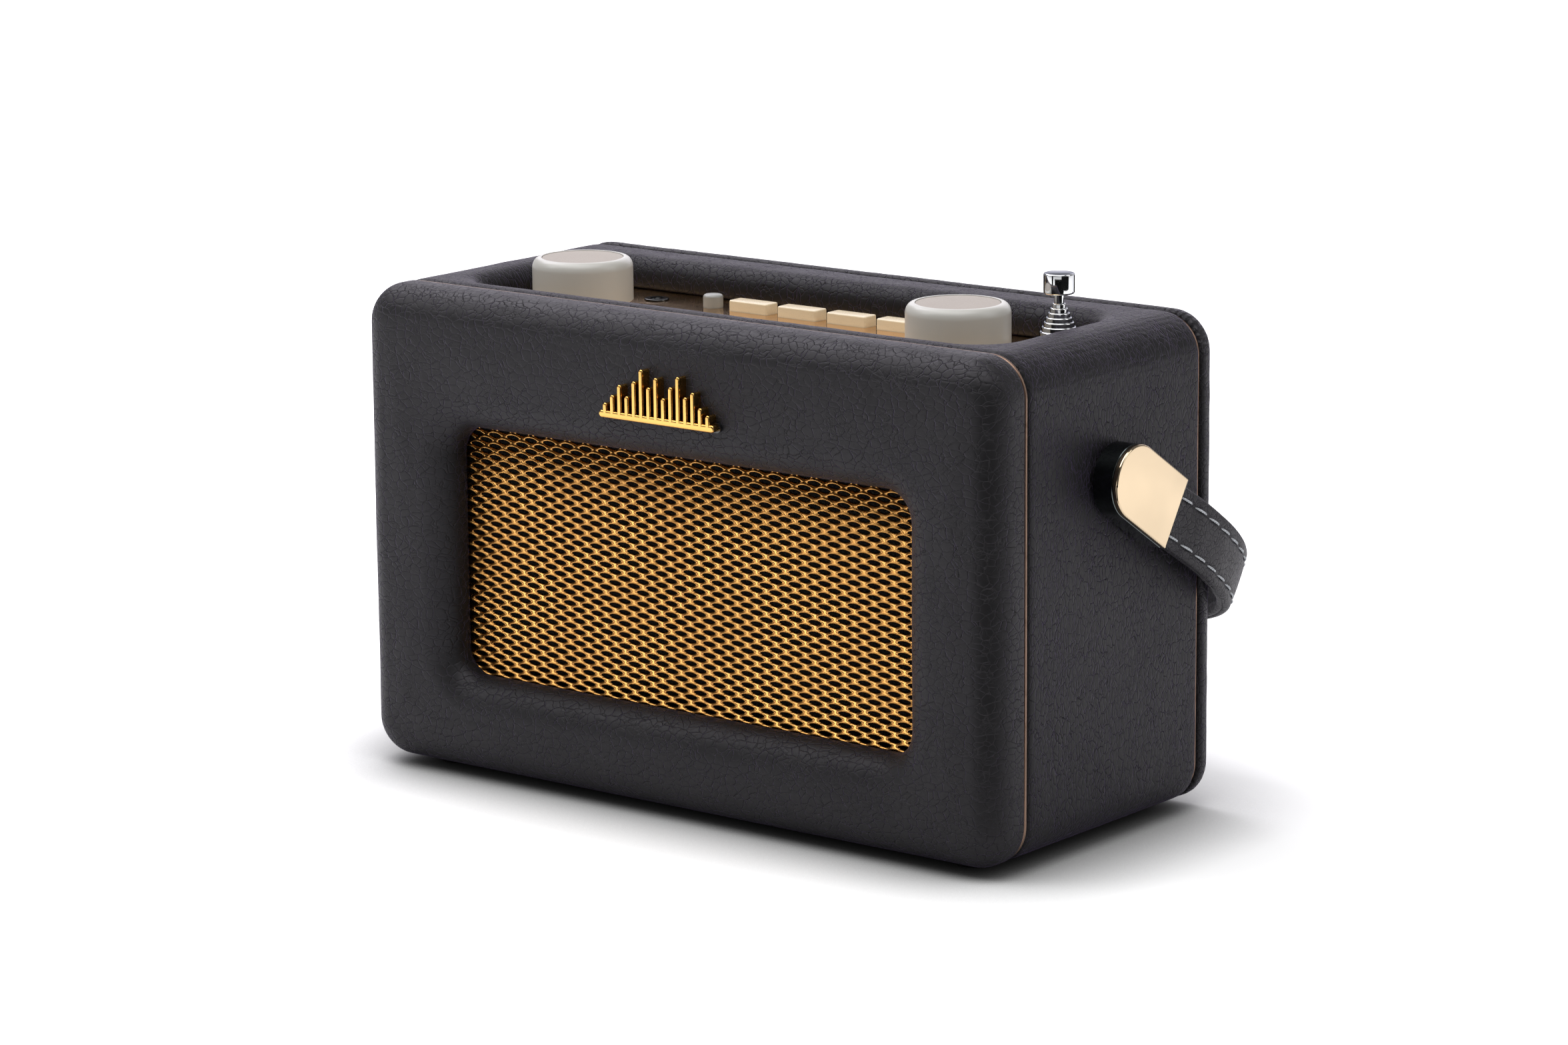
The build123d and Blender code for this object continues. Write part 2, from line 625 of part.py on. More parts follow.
masts = []
for k in range(n_mast):
    ro = mast_r1 - k * mast_step
    zb = mast_bot1 + 1.0 * k
    ztop = mast_top1 + mast_rise * k
    with BuildPart() as mast:
        if k < n_mast - 1:
            with BuildSketch(Plane.XY.offset(zb)):
                with Locations((aer_x, aer_y)):
                    Circle(ro)
                    Circle(ro - mast_wall, mode=Mode.SUBTRACT)
            extrude(amount=ztop - zb)
            chamfer(mast.faces().sort_by(Axis.Z)[-1].outer_wire().edges(), length=0.2)
            if k == 0:
                # tongue at the foot of the outer tube, on the tilt pin
                with BuildSketch(Plane.XY.offset(zb)):
                    with Locations((aer_x, aer_y)):
                        Circle(ro)
                extrude(amount=0.8)
                with BuildSketch(Plane.XY.offset(foot_z0 + 6.6)):
                    with Locations((aer_x, aer_y)):
                        Rectangle(3.0, 6.4)
                extrude(amount=zb - foot_z0 - 6.6)
                with BuildSketch(Plane.YZ.offset(aer_x - 3)):
                    with Locations((aer_y, foot_z0 + 8.6)):
                        Circle(1.03)
                extrude(amount=6, mode=Mode.SUBTRACT)
        else:
            with BuildSketch(Plane.XY.offset(zb)):
                with Locations((aer_x, aer_y)):
                    Circle(ro)
            extrude(amount=cap_z0 - zb)
    masts.append(mast)

with BuildPart() as aerial_cap:
    with BuildSketch(Plane.XY.offset(cap_z0)):
        with Locations((aer_x, aer_y)):
            Circle(cap_r)
    extrude(amount=cap_z1 - cap_z0)
    chamfer(aerial_cap.faces().sort_by(Axis.Z)[-1].edges(), length=0.35)
    chamfer(aerial_cap.faces().sort_by(Axis.Z)[0].edges(), length=0.3)

# ================================================================ strap and brackets
# plane of the hanging strap: local x is X, local y runs along the strap from the pivot
ud = (0, cos(hang), sin(hang))
vd = (0, -sin(hang), cos(hang))


def strap_plane(v):
    return Plane(origin=(0, piv_y + vd[1] * v, piv_z + vd[2] * v), x_dir=(1, 0, 0), z_dir=vd)


# outer face of the strap, right half, as (x, distance from the pivot)
strap_outer = [(109.1, 6.2), (109.1, 14.0), (109.2, 20.5), (110.1, 30.0), (110.2, 40.0), (109.0, 50.0), (106.6, 59.0),
               (102.4, 67.2), (96.0, 74.2), (87.4, 80.0), (76.5, 84.6), (61.0, 88.8), (41.0, 92.0), (20.5, 93.8), (0.0, 94.4)]
full = strap_outer + [(-x, u) for x, u in reversed(strap_outer[:-1])]


def offset_points(points, t):
    """Points moved square to the run of the line, towards the inside of the loop."""
    out = []
    for i, (x, u) in enumerate(points):
        xa, ua = points[max(i - 1, 0)]
        xb, ub = points[min(i + 1, len(points) - 1)]
        if i in (0, len(points) - 1):
            n = (-1.0 if x > 0 else 1.0, 0.0)
        else:
            dx, du = xb - xa, ub - ua
            s = hypot(dx, du)
            n = (-du / s, dx / s)
        out.append((x + n[0] * t, u + n[1] * t))
    return out


inner = offset_points(full, strap_t)
with BuildPart() as strap:
    with BuildSketch(strap_plane(-strap_w / 2)):
        with BuildLine():
            a = Spline(*full)
            b = Spline(*inner)
            Line(a @ 0, b @ 0)
            Line(a @ 1, b @ 1)
        make_face()
    extrude(amount=strap_w)
    fillet([e for e in strap.edges() if e.length > 60], radius=1.3)


def bracket_outline(sketch_w, sketch_len):
    """D shape: half round about the pivot, straight sides, square end."""
    Circle(sketch_w / 2)
    with Locations((0, sketch_len / 2)):
        Rectangle(sketch_w, sketch_len)


def side_plane(x):
    """Plane square to X at x: local y runs along the strap, local x across it."""
    return Plane(origin=(x, piv_y, piv_z), x_dir=(0, -vd[1], -vd[2]), z_dir=(1, 0, 0))


covers = {}
for side in (1, -1):
    with BuildPart() as cover:
        with BuildSketch(side_plane(side * br_x0)):
            bracket_outline(br_w, br_len)
        extrude(amount=side * (br_x1 - br_x0))
        outer_face = cover.faces().sort_by(Axis.X)[-1 if side > 0 else 0]
        chamfer(outer_face.edges(), length=0.5)
        # hollow for the base plate and the strap's end, open at the straight end
        with BuildSketch(side_plane(side * br_x0)):
            bracket_outline(br_w - 1.8, br_len + 2)
        extrude(amount=side * (br_x1 - br_x0 - 0.9), mode=Mode.SUBTRACT)
    covers[side] = cover
bracket_cover_right, bracket_cover_left = covers[1], covers[-1]

with BuildPart() as bracket_bases:
    for side in (1, -1):
        with BuildSketch(side_plane(side * (br_x0 + 0.0))):
            bracket_outline(br_w - 2.0, br_len - 0.4)
            Circle(2.56, mode=Mode.SUBTRACT)
        extrude(amount=side * 2.0)

with BuildPart() as pivot_screws:
    for side in (1, -1):
        with BuildSketch(side_plane(side * (W / 2 - wall - 2.2))):
            Circle(2.5)
        extrude(amount=side * (br_x0 + 2.1 - W / 2 + wall + 2.2))
        with BuildSketch(side_plane(side * (br_x0 + 2.1))):
            Circle(4.2)
        extrude(amount=side * 1.6)
        # nut inside the case
        with BuildSketch(side_plane(side * (W / 2 - wall - 2.2))):
            RegularPolygon(4.4, 6)
        extrude(amount=side * 2.1)
        # shoulder washer between the case and the bracket
        with BuildSketch(side_plane(side * (W / 2 + 0.02))):
            Circle(6.0)
        extrude(amount=side * 0.88)

# ================================================================ battery compartment and sockets
tray_z0, tray_z1, tray_y0 = cav_z0 + 0.1, door_z1 + 1.6, rb1 - 22.0
with BuildPart() as battery_tray:
    with BuildSketch(xz(rb1 - 0.05)):
        with Locations((0, (tray_z0 + tray_z1) / 2)):
            RectangleRounded(door_w + 5.0, tray_z1 - tray_z0, 1.5)
    extrude(amount=rb1 - 0.05 - tray_y0)
    with BuildSketch(xz(rb1)):
        with Locations((0, (tray_z0 + tray_z1) / 2)):
            RectangleRounded(door_w + 2.0, tray_z1 - tray_z0 - 3.0, 1.2)
    extrude(amount=rb1 - tray_y0 - 1.5, mode=Mode.SUBTRACT)

cell_y = rb1 - 10.0
with BuildPart() as battery_cells:
    # four round cells, two to a row
    for xs in (-51.5, 1.0):
        with BuildSketch(Plane.YZ.offset(xs)):
            with Locations((cell_y, tray_z0 + 9.2), (cell_y, tray_z0 + 24.4)):
                Circle(7.15)
        extrude(amount=49.3)
        with BuildSketch(Plane.YZ.offset(xs + 49.3)):
            with Locations((cell_y, tray_z0 + 9.2), (cell_y, tray_z0 + 24.4)):
                Circle(2.6)
        extrude(amount=1.1)

with BuildPart() as battery_door:
    with BuildSketch(xz(door_y0 + door_t)):
        with Locations((0, (door_z0 + door_z1) / 2)):
            Rectangle(door_w, door_z1 - door_z0)
    extrude(amount=door_t)
    fillet(battery_door.edges().filter_by(Axis.X).group_by(Axis.Z)[0], radius=0.9)
    # thumb recess at the top edge
    with BuildSketch(xz(door_y0 + door_t)):
        with Locations((0, door_z1)):
            Circle(7.0)
    extrude(amount=1.0, mode=Mode.SUBTRACT)
    # trunnions
    with BuildSketch(Plane.YZ.offset(-door_w / 2 - 1.4)):
        with Locations((hinge_y, hinge_z)):
            Circle(1.0)
    extrude(amount=door_w + 2.8)

with BuildPart() as rear_sockets:
    # moulded block with the auxiliary socket and the round power inlet
    with BuildSketch(xz(yr - 0.8)):
        with Locations((sock_x, sock_z)):
            RectangleRounded(34.0, 16.0, 2.0)
    extrude(amount=14.0)
    with BuildSketch(xz(yr - 0.8)):
        with Locations((sock_x - 8.5, sock_z)):
            Circle(1.8)
        with Locations((sock_x + 8.5, sock_z)):
            Circle(2.8)
            Circle(1.0, mode=Mode.SUBTRACT)
    extrude(amount=11.0, mode=Mode.SUBTRACT)
    with BuildSketch(xz(yr - 0.8)):
        with Locations((sock_x - 8.5, sock_z)):
            Circle(4.2)
            Circle(3.2, mode=Mode.SUBTRACT)
        with Locations((sock_x + 8.5, sock_z)):
            Circle(5.4)
            Circle(4.4, mode=Mode.SUBTRACT)
    extrude(amount=-0.4)

# ================================================================ export, one file per piece
cabinet_shell.part.label = "cabinet_shell"
export_step(cabinet_shell.part, "parts/cabinet_shell.step")
front_panel.part.label = "front_panel"
export_step(front_panel.part, "parts/front_panel.step")
front_bead.part.label = "front_bead"
export_step(front_bead.part, "parts/front_bead.step")
rear_bead.part.label = "rear_bead"
export_step(rear_bead.part, "parts/rear_bead.step")
rear_panel.part.label = "rear_panel"
export_step(rear_panel.part, "parts/rear_panel.step")
pieces = {
    "corner_blocks": corner_blocks, "rubber_feet": rubber_feet, "baffle_board": baffle_board,
    "speaker_grille": speaker_grille, "dust_cloth": dust_cloth, "speaker_basket": speaker_basket,
    "speaker_cone": speaker_cone, "speaker_magnet": speaker_magnet, "case_screws": case_screws,
    "emblem_plate": emblem_plate, "emblem_ornament": emblem_ornament, "control_plate": control_plate,
    "display_window": display_window, "display_module": display_module, "main_board": main_board,
    "board_posts": board_posts, "volume_knob": volume_knob, "volume_knob_cap": volume_knob_cap,
    "volume_shaft": volume_shaft, "volume_encoder": volume_encoder, "tuning_knob": tuning_knob,
    "tuning_knob_cap": tuning_knob_cap, "tuning_shaft": tuning_shaft, "tuning_encoder": tuning_encoder,
    "tuning_push_collar": tuning_push_collar, "preset_button_1": preset_button_1,
    "preset_button_2": preset_button_2, "preset_button_3": preset_button_3,
    "preset_button_4": preset_button_4, "standby_button": standby_button, "tact_switches": tact_switches,
    "headphone_socket": headphone_socket, "aerial_flange": aerial_flange,
    "aerial_guide_tube": aerial_guide_tube, "aerial_slip_ring": aerial_slip_ring,
    "aerial_foot": aerial_foot, "aerial_hinge_pin": aerial_hinge_pin, "aerial_cap": aerial_cap,
    "strap": strap, "bracket_cover_right": bracket_cover_right, "bracket_cover_left": bracket_cover_left,
    "bracket_bases": bracket_bases, "pivot_screws": pivot_screws, "battery_tray": battery_tray,
    "battery_cells": battery_cells, "battery_door": battery_door, "rear_sockets": rear_sockets,
}
for k, mast in enumerate(masts):
    pieces[f"mast_section_{k + 1}"] = mast
for name, piece in pieces.items():
    piece.part.label = name
    export_step(piece.part, f"parts/{name}.step")

whole = Compound(children=[cabinet_shell.part, strap.part, emblem_ornament.part, rear_panel.part])
box = whole.bounding_box()
print("y range", round(box.min.Y, 3), round(box.max.Y, 3), "middle", round((box.min.Y + box.max.Y) / 2, 3))
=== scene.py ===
import bpy
import bmesh
import math
import numpy as np
from mathutils import Matrix, Vector


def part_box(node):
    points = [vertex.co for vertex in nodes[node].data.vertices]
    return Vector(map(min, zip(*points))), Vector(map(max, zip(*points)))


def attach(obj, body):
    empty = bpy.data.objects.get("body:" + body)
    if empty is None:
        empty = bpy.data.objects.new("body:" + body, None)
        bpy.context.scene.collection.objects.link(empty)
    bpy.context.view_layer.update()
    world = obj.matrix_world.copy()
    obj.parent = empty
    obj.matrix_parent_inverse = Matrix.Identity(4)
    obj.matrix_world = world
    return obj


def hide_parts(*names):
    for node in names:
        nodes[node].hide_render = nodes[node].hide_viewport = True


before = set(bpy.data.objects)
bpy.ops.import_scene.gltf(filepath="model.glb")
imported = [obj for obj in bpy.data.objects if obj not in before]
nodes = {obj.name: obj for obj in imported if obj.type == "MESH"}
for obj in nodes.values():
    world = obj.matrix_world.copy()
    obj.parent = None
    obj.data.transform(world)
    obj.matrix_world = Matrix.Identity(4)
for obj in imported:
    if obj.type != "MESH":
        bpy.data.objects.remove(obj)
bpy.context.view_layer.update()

MM = 0.001

# ---------------------------------------------------------------- the part's dimensions, in mm
W, D, H = 204.0, 93.5, 126.0
YC, Z0 = -17.665, 2.0
ZT, ZC = Z0 + H, Z0 + H / 2
YF, YR = YC - D / 2, YC + D / 2
CORNER = 10.5
FB0 = YF + 12.69
FB1 = FB0 + 1.2
RB0 = YR - 6.52
RB1 = RB0 + 1.2
PLATE = Z0 + 117.5
SPK_W, SPK_H, SPK_R, SPK_Z = 146.6, 66.1, 7.5, Z0 + 57.65
KNOB_R, KNOB_TOP = 13.2, Z0 + 130.1
KNOB_BOT = PLATE + 1.1
VOL_X, TUN_X, KNOB_Y = -65.0, 56.8, YC
ROW_Y = YC + 16.3
BTN_W, BTN_D, BTN_TOP = 12.6, 5.0, PLATE + 2.85
BTN_X = (-21.0, -5.0, 11.0, 27.0)
STBY_X, STBY_R, STBY_TOP = -34.4, 2.63, PLATE + 3.5
JACK_X = -53.5
AER_X, AER_Y = 76.0, YC + 16.0
CAP_R, CAP_Z0, CAP_Z1 = 3.9, Z0 + 131.9, Z0 + 137.1
PIV_Y, PIV_Z = YC + 1.5, Z0 + 90.7
HANG = math.radians(-32.5)
UD = np.array([0.0, math.cos(HANG), math.sin(HANG)])
VD = np.array([0.0, -math.sin(HANG), math.cos(HANG)])
XD = np.array([1.0, 0.0, 0.0])
BR_W, BR_LEN, BR_X0, BR_X1 = 18.7, 19.9, W / 2 + 1.0, W / 2 + 8.2
STRAP_W, STRAP_T = 16.6, 4.0
ORN_X, ORN_Z = 0.35, 107.0

# ================================================================ node helpers


class Nodes:
    """A small wrapper that makes shader nodes and links them."""

    def __init__(self, name):
        self.mat = bpy.data.materials.new(name)
        self.mat.use_nodes = True
        self.t = self.mat.node_tree
        self.t.nodes.clear()
        self.out = self.t.nodes.new("ShaderNodeOutputMaterial")
        self.p = self.t.nodes.new("ShaderNodeBsdfPrincipled")
        self.t.links.new(self.p.outputs[0], self.out.inputs["Surface"])
        self.tc = self.t.nodes.new("ShaderNodeTexCoord")

    def obj(self):
        return self.tc.outputs["Object"]

    def link(self, a, b):
        self.t.links.new(a, b)

    def put(self, socket, value):
        if isinstance(value, (int, float)):
            socket.default_value = value
        elif isinstance(value, (tuple, list)):
            socket.default_value = tuple(value) + ((1.0,) if len(value) == 3 and len(socket.default_value) == 4 else ())
        else:
            self.link(value, socket)

    def mapping(self, vec, scale=(1, 1, 1), loc=(0, 0, 0), rot=(0, 0, 0)):
        n = self.t.nodes.new("ShaderNodeMapping")
        self.link(vec, n.inputs["Vector"])
        n.inputs["Scale"].default_value = scale
        n.inputs["Location"].default_value = loc
        n.inputs["Rotation"].default_value = rot
        return n.outputs[0]

    def noise(self, vec, scale, detail=2.0, rough=0.5, dist=0.0, out="Fac"):
        n = self.t.nodes.new("ShaderNodeTexNoise")
        self.link(vec, n.inputs["Vector"])
        n.inputs["Scale"].default_value = scale
        n.inputs["Detail"].default_value = detail
        n.inputs["Roughness"].default_value = rough
        n.inputs["Distortion"].default_value = dist
        return n.outputs[out]

    def voronoi(self, vec, scale, feature="DISTANCE_TO_EDGE", rand=1.0, out="Distance"):
        n = self.t.nodes.new("ShaderNodeTexVoronoi")
        n.feature = feature
        self.link(vec, n.inputs["Vector"])
        n.inputs["Scale"].default_value = scale
        n.inputs["Randomness"].default_value = rand
        return n.outputs[out]

    def math(self, op, a, b=None, c=None, clamp=False):
        n = self.t.nodes.new("ShaderNodeMath")
        n.operation = op
        n.use_clamp = clamp
        for i, v in enumerate((a, b, c)):
            if v is not None:
                self.put(n.inputs[i], v)
        return n.outputs[0]

    def ramp(self, v, lo, hi, a=0.0, b=1.0, smooth=True):
        n = self.t.nodes.new("ShaderNodeMapRange")
        n.interpolation_type = "SMOOTHSTEP" if smooth else "LINEAR"
        self.put(n.inputs["Value"], v)
        n.inputs["From Min"].default_value = lo
        n.inputs["From Max"].default_value = hi
        n.inputs["To Min"].default_value = a
        n.inputs["To Max"].default_value = b
        return n.outputs["Result"]

    def mix(self, fac, a, b):
        n = self.t.nodes.new("ShaderNodeMix")
        n.data_type = "RGBA"
        self.put(n.inputs[0], fac)
        self.put(n.inputs[6], a)
        self.put(n.inputs[7], b)
        return n.outputs[2]

    def warp(self, vec, scale, amount):
        """vec moved by a noise field of that amount in metres."""
        n = self.noise(vec, scale, 1.0, out="Color")
        s = self.t.nodes.new("ShaderNodeVectorMath")
        s.operation = "SUBTRACT"
        self.link(n, s.inputs[0])
        s.inputs[1].default_value = (0.5, 0.5, 0.5)
        m = self.t.nodes.new("ShaderNodeVectorMath")
        m.operation = "MULTIPLY_ADD"
        self.link(s.outputs[0], m.inputs[0])
        m.inputs[1].default_value = (amount,) * 3
        self.link(vec, m.inputs[2])
        return m.outputs[0]

    def xyz(self, vec):
        n = self.t.nodes.new("ShaderNodeSeparateXYZ")
        self.link(vec, n.inputs[0])
        return n.outputs

    def bump(self, height, distance, strength=1.0, normal=None):
        n = self.t.nodes.new("ShaderNodeBump")
        n.inputs["Distance"].default_value = distance
        n.inputs["Strength"].default_value = strength
        self.link(height, n.inputs["Height"])
        if normal is not None:
            self.link(normal, n.inputs["Normal"])
        return n.outputs[0]

    def set(self, **kw):
        for k, v in kw.items():
            self.put(self.p.inputs[k.replace("_", " ")], v)
        return self.mat


def leather(name, base=(0.0064, 0.0064, 0.0063), crease_painted_light=(0.0140, 0.0138, 0.0138), scale=470.0, stretch=(0.80, 0.95, 1.08), pucker=0.0, depth=1.0,
            rough=0.50, sheen=0.11, seed=0.0, tint=(0.95, 0.90, 1.0), spec=0.31):
    """Pebbled leather cloth: irregular pebbles with fine creases, a second smaller set of creases that come and go, and pores."""
    n = Nodes(name)
    v = n.mapping(n.obj(), scale=stretch, loc=(seed, seed * 0.7, seed * 1.3))
    w = n.warp(n.warp(n.warp(v, 110.0, 0.0022), 420.0, 0.0013), 1250.0, 0.00034)
    e1 = n.voronoi(w, scale)
    patch = n.noise(v, 70.0, 2.0)
    width = n.ramp(patch, 0.3, 0.7, 0.028, 0.052)
    c1 = n.math("SUBTRACT", 1.0, n.math("DIVIDE", e1, width, clamp=True), clamp=True)
    c1 = n.math("POWER", c1, 1.2)
    keep = n.ramp(n.noise(w, 190.0, 1.5), 0.36, 0.58, 0.45, 1.0)
    c1 = n.math("MULTIPLY", c1, keep)
    e2 = n.voronoi(n.warp(n.warp(v, 300.0, 0.0020), 1100.0, 0.0004), scale * 1.55)
    c2 = n.math("SUBTRACT", 1.0, n.math("DIVIDE", e2, 0.062, clamp=True), clamp=True)
    c2 = n.math("MULTIPLY", c2, n.ramp(n.noise(v, 160.0, 2.0), 0.42, 0.64, 0.0, 0.55))
    dome = n.ramp(e1, 0.0, 0.16, 0.0, 1.0)
    fine = n.noise(v, 1500.0, 3.0, 0.6)
    h = n.math("MULTIPLY", dome, n.math("MULTIPLY", keep, 0.24))
    h = n.math("SUBTRACT", h, n.math("MULTIPLY", c1, 1.0))
    h = n.math("SUBTRACT", h, n.math("MULTIPLY", c2, 0.5))
    h = n.math("ADD", h, n.math("MULTIPLY", fine, 0.10))
    h = n.math("ADD", h, n.math("MULTIPLY", patch, 0.14))
    if pucker:
        # small gathers where the leather is pulled round the case's corners
        o = n.xyz(n.obj())
        dx = n.math("SUBTRACT", n.math("ABSOLUTE", o[0]), (W / 2 - CORNER) * MM)
        dz = n.math("SUBTRACT", n.math("ABSOLUTE", n.math("SUBTRACT", o[2], ZC * MM)), (H / 2 - CORNER) * MM)
        ang = n.math("ARCTAN2", dz, dx)
        jig = n.noise(v, 260.0, 2.0)
        wave = n.math("SINE", n.math("ADD", n.math("MULTIPLY", ang, 34.0), n.math("MULTIPLY", jig, 7.0)))
        m = n.math("MULTIPLY", n.ramp(dx, -0.004, 0.004), n.ramp(dz, -0.004, 0.004))
        m = n.math("MULTIPLY", m, n.ramp(jig, 0.3, 0.6, 0.35, 1.0))
        h = n.math("ADD", h, n.math("MULTIPLY", n.math("MULTIPLY", wave, m), pucker))
    crs = n.math("MAXIMUM", c1, n.math("MULTIPLY", c2, 0.7), clamp=True)
    tone = n.noise(v, 38.0, 3.0)
    lighter = tuple(c * 1.28 for c in base)
    col = n.mix(n.ramp(tone, 0.35, 0.68), base, lighter)
    # Painted light in the creases: by default the crease colour is lighter than the base, a painted highlight on the
    # creases; on the case it is darker, painted shade in the creases.
    col = n.mix(crs, col, crease_painted_light)
    r = n.math("ADD", n.ramp(fine, 0.3, 0.7, rough - 0.05, rough + 0.05), n.math("MULTIPLY", crs, 0.12))
    n.set(Base_Color=col, Roughness=r, Normal=n.bump(h, 0.00021 * depth, 1.0))
    n.set(Sheen_Weight=sheen, Sheen_Roughness=0.22, Sheen_Tint=(0.60, 0.42, 0.95), Specular_IOR_Level=spec, Specular_Tint=tint)
    return n.mat


def metal(name, base, rough=0.2, rough_var=0.06, scale=900.0, bump=0.0, brushed=None, dark=None, dark_at=(0.55, 0.75), coat=0.0, aniso=0.0, edge=None):
    """Metal with a worn, slightly uneven finish."""
    n = Nodes(name)
    v = n.obj()
    if brushed:
        v = n.mapping(v, scale=brushed)
    f = n.noise(v, scale, 3.0, 0.6)
    g = n.noise(n.obj(), 60.0, 2.0)
    r = n.math("ADD", n.ramp(f, 0.3, 0.7, rough - rough_var / 2, rough + rough_var / 2), n.ramp(g, 0.3, 0.7, -rough_var / 2, rough_var / 2))
    col = n.mix(n.ramp(g, 0.3, 0.7), base, tuple(c * 0.93 for c in base))
    if dark is not None:
        col = n.mix(n.ramp(n.noise(n.obj(), 240.0, 3.0), dark_at[0], dark_at[1], 0.0, 0.75), col, dark)
    n.set(Base_Color=col, Roughness=r, Metallic=1.0)
    if bump:
        n.set(Normal=n.bump(f, bump, 1.0))
    if coat:
        n.set(Coat_Weight=coat, Coat_Roughness=0.08)
    if aniso:
        n.set(Anisotropic=aniso)
    if edge is not None:
        n.set(Specular_Tint=edge)
    return n.mat


def plastic(name, base, rough=0.35, grain=0.00001, scale=2600.0, spec=0.5, vary=0.06, coat=0.0, sub=0.0, sub_col=None):
    """Moulded plastic with a fine texture and small tone changes."""
    n = Nodes(name)
    f = n.noise(n.obj(), scale, 2.0, 0.5)
    g = n.noise(n.obj(), 45.0, 3.0)
    hi = tuple(min(1.0, c * (1 + vary)) for c in base)
    lo = tuple(c * (1 - vary) for c in base)
    col = n.mix(n.ramp(g, 0.3, 0.7), lo, hi)
    r = n.ramp(f, 0.25, 0.75, rough - 0.04, rough + 0.05)
    n.set(Base_Color=col, Roughness=r, Specular_IOR_Level=spec)
    if grain:
        n.set(Normal=n.bump(f, grain, 1.0))
    if coat:
        n.set(Coat_Weight=coat, Coat_Roughness=0.1)
    if sub:
        n.set(Subsurface_Weight=sub, Subsurface_Radius=(0.002, 0.0014, 0.0008), Subsurface_Scale=1.0)
    return n.mat


def woven(name, base, thread=0.0006, rough=0.8):
    n = Nodes(name)
    o = n.xyz(n.obj())
    k = math.pi / thread
    a = n.math("SINE", n.math("MULTIPLY", o[0], k))
    b = n.math("SINE", n.math("MULTIPLY", o[2], k))
    h = n.math("MULTIPLY", a, b)
    f = n.noise(n.obj(), 1800.0, 2.0)
    # Colour darker where the weave's height is low: painted shade between the threads, with random tone from the noise.
    col = n.mix(n.ramp(n.math("ADD", h, f), -0.6, 1.4), tuple(c * 0.45 for c in base), base)
    n.set(Base_Color=col, Roughness=rough, Specular_IOR_Level=0.2, Normal=n.bump(h, 0.0001, 0.8))
    return n.mat


def wood(name, base=(0.36, 0.24, 0.13)):
    n = Nodes(name)
    v = n.mapping(n.obj(), scale=(0.25, 1.0, 1.0))
    f = n.noise(v, 330.0, 5.0, 0.65, 0.6)
    col = n.mix(n.ramp(f, 0.35, 0.68), tuple(c * 0.6 for c in base), base)
    n.set(Base_Color=col, Roughness=n.ramp(f, 0.3, 0.7, 0.6, 0.75), Normal=n.bump(f, 0.00012, 0.7))
    return n.mat


M = {}
M["leather_front"] = leather("front_leather", seed=0.013)
# The case's copy of the leather has a darker base than the front's: painted shade that darkens the lit side faces. Its
# creases are darker than the base: painted shade in the creases.
M["leather_case"] = leather("case_leather", seed=0.171, pucker=0.2, base=(0.0058, 0.0057, 0.0057), crease_painted_light=(0.0026, 0.0026, 0.0026), stretch=(1.0, 1.38, 0.74), scale=480.0, sheen=0.15, tint=(0.95, 0.91, 1.0), spec=0.23)
M["leather_rear"] = leather("rear_leather", seed=0.317, pucker=0.9, depth=1.0, base=(0.0084, 0.0082, 0.0086), sheen=0.15, tint=(0.95, 0.91, 1.0), spec=0.31)
M["leather_strap"] = leather("strap_leather", scale=620.0, stretch=(1.0, 1.0, 1.0), depth=1.2, base=(0.0090, 0.0089, 0.0090), seed=0.411, rough=0.5, sheen=0.05)
M["stitch"] = woven("stitch_thread", (0.52, 0.54, 0.57), thread=0.00022, rough=0.7)
M["copper"] = metal("copper_trim", (0.235, 0.155, 0.115), rough=0.36, rough_var=0.1, scale=1600.0, bump=0.00001, dark=(0.09, 0.05, 0.03), dark_at=(0.5, 0.8))
M["gold_grille"] = metal("grille_gold", (0.63, 0.325, 0.095), rough=0.29, rough_var=0.06, scale=2200.0, bump=0.000003, dark=(0.60, 0.31, 0.09), dark_at=(0.45, 0.8))
M["gold_emblem"] = metal("ornament_gold", (0.80, 0.46, 0.13), rough=0.09, rough_var=0.05, scale=1200.0)
M["gold_bracket"] = metal("bracket_gold", (0.63, 0.50, 0.34), rough=0.10, rough_var=0.03, scale=700.0, brushed=(1, 0.2, 1))
M["bracket_dark"] = metal("bracket_steel", (0.10, 0.115, 0.115), rough=0.16, rough_var=0.06, scale=900.0)
M["chrome"] = metal("aerial_chrome", (0.74, 0.75, 0.765), rough=0.05, rough_var=0.02, scale=500.0, edge=(0.22, 0.23, 0.25))
M["steel"] = metal("screw_steel", (0.50, 0.50, 0.50), rough=0.3, rough_var=0.1, scale=1500.0, bump=0.00001)
M["shaft"] = metal("shaft_steel", (0.55, 0.55, 0.56), rough=0.28, rough_var=0.08, scale=1800.0, bump=0.000008)
M["speaker_steel"] = metal("speaker_steel", (0.13, 0.13, 0.135), rough=0.42, rough_var=0.1, scale=1200.0, bump=0.00001)
M["magnet"] = metal("magnet_ferrite", (0.10, 0.10, 0.105), rough=0.55, rough_var=0.12, scale=1800.0, bump=0.00003)
M["brass_foot"] = metal("foot_brass", (0.75, 0.56, 0.28), rough=0.28, rough_var=0.1, scale=1500.0, bump=0.00001)
M["plate"] = metal("plate_brass", (0.82, 0.56, 0.32), rough=0.15, rough_var=0.07, scale=2600.0, brushed=(0.03, 1, 1))
M["knob"] = plastic("knob_cream", (0.46, 0.45, 0.42), rough=0.36, grain=0.000006, scale=3000.0, vary=0.02, coat=0.12)
M["knob_cap"] = plastic("knob_cap", (0.30, 0.26, 0.222), rough=0.5, grain=0.00001, scale=2400.0, vary=0.03)
M["ivory"] = plastic("button_ivory", (0.69, 0.575, 0.40), rough=0.3, grain=0.000004, vary=0.02, coat=0.2)
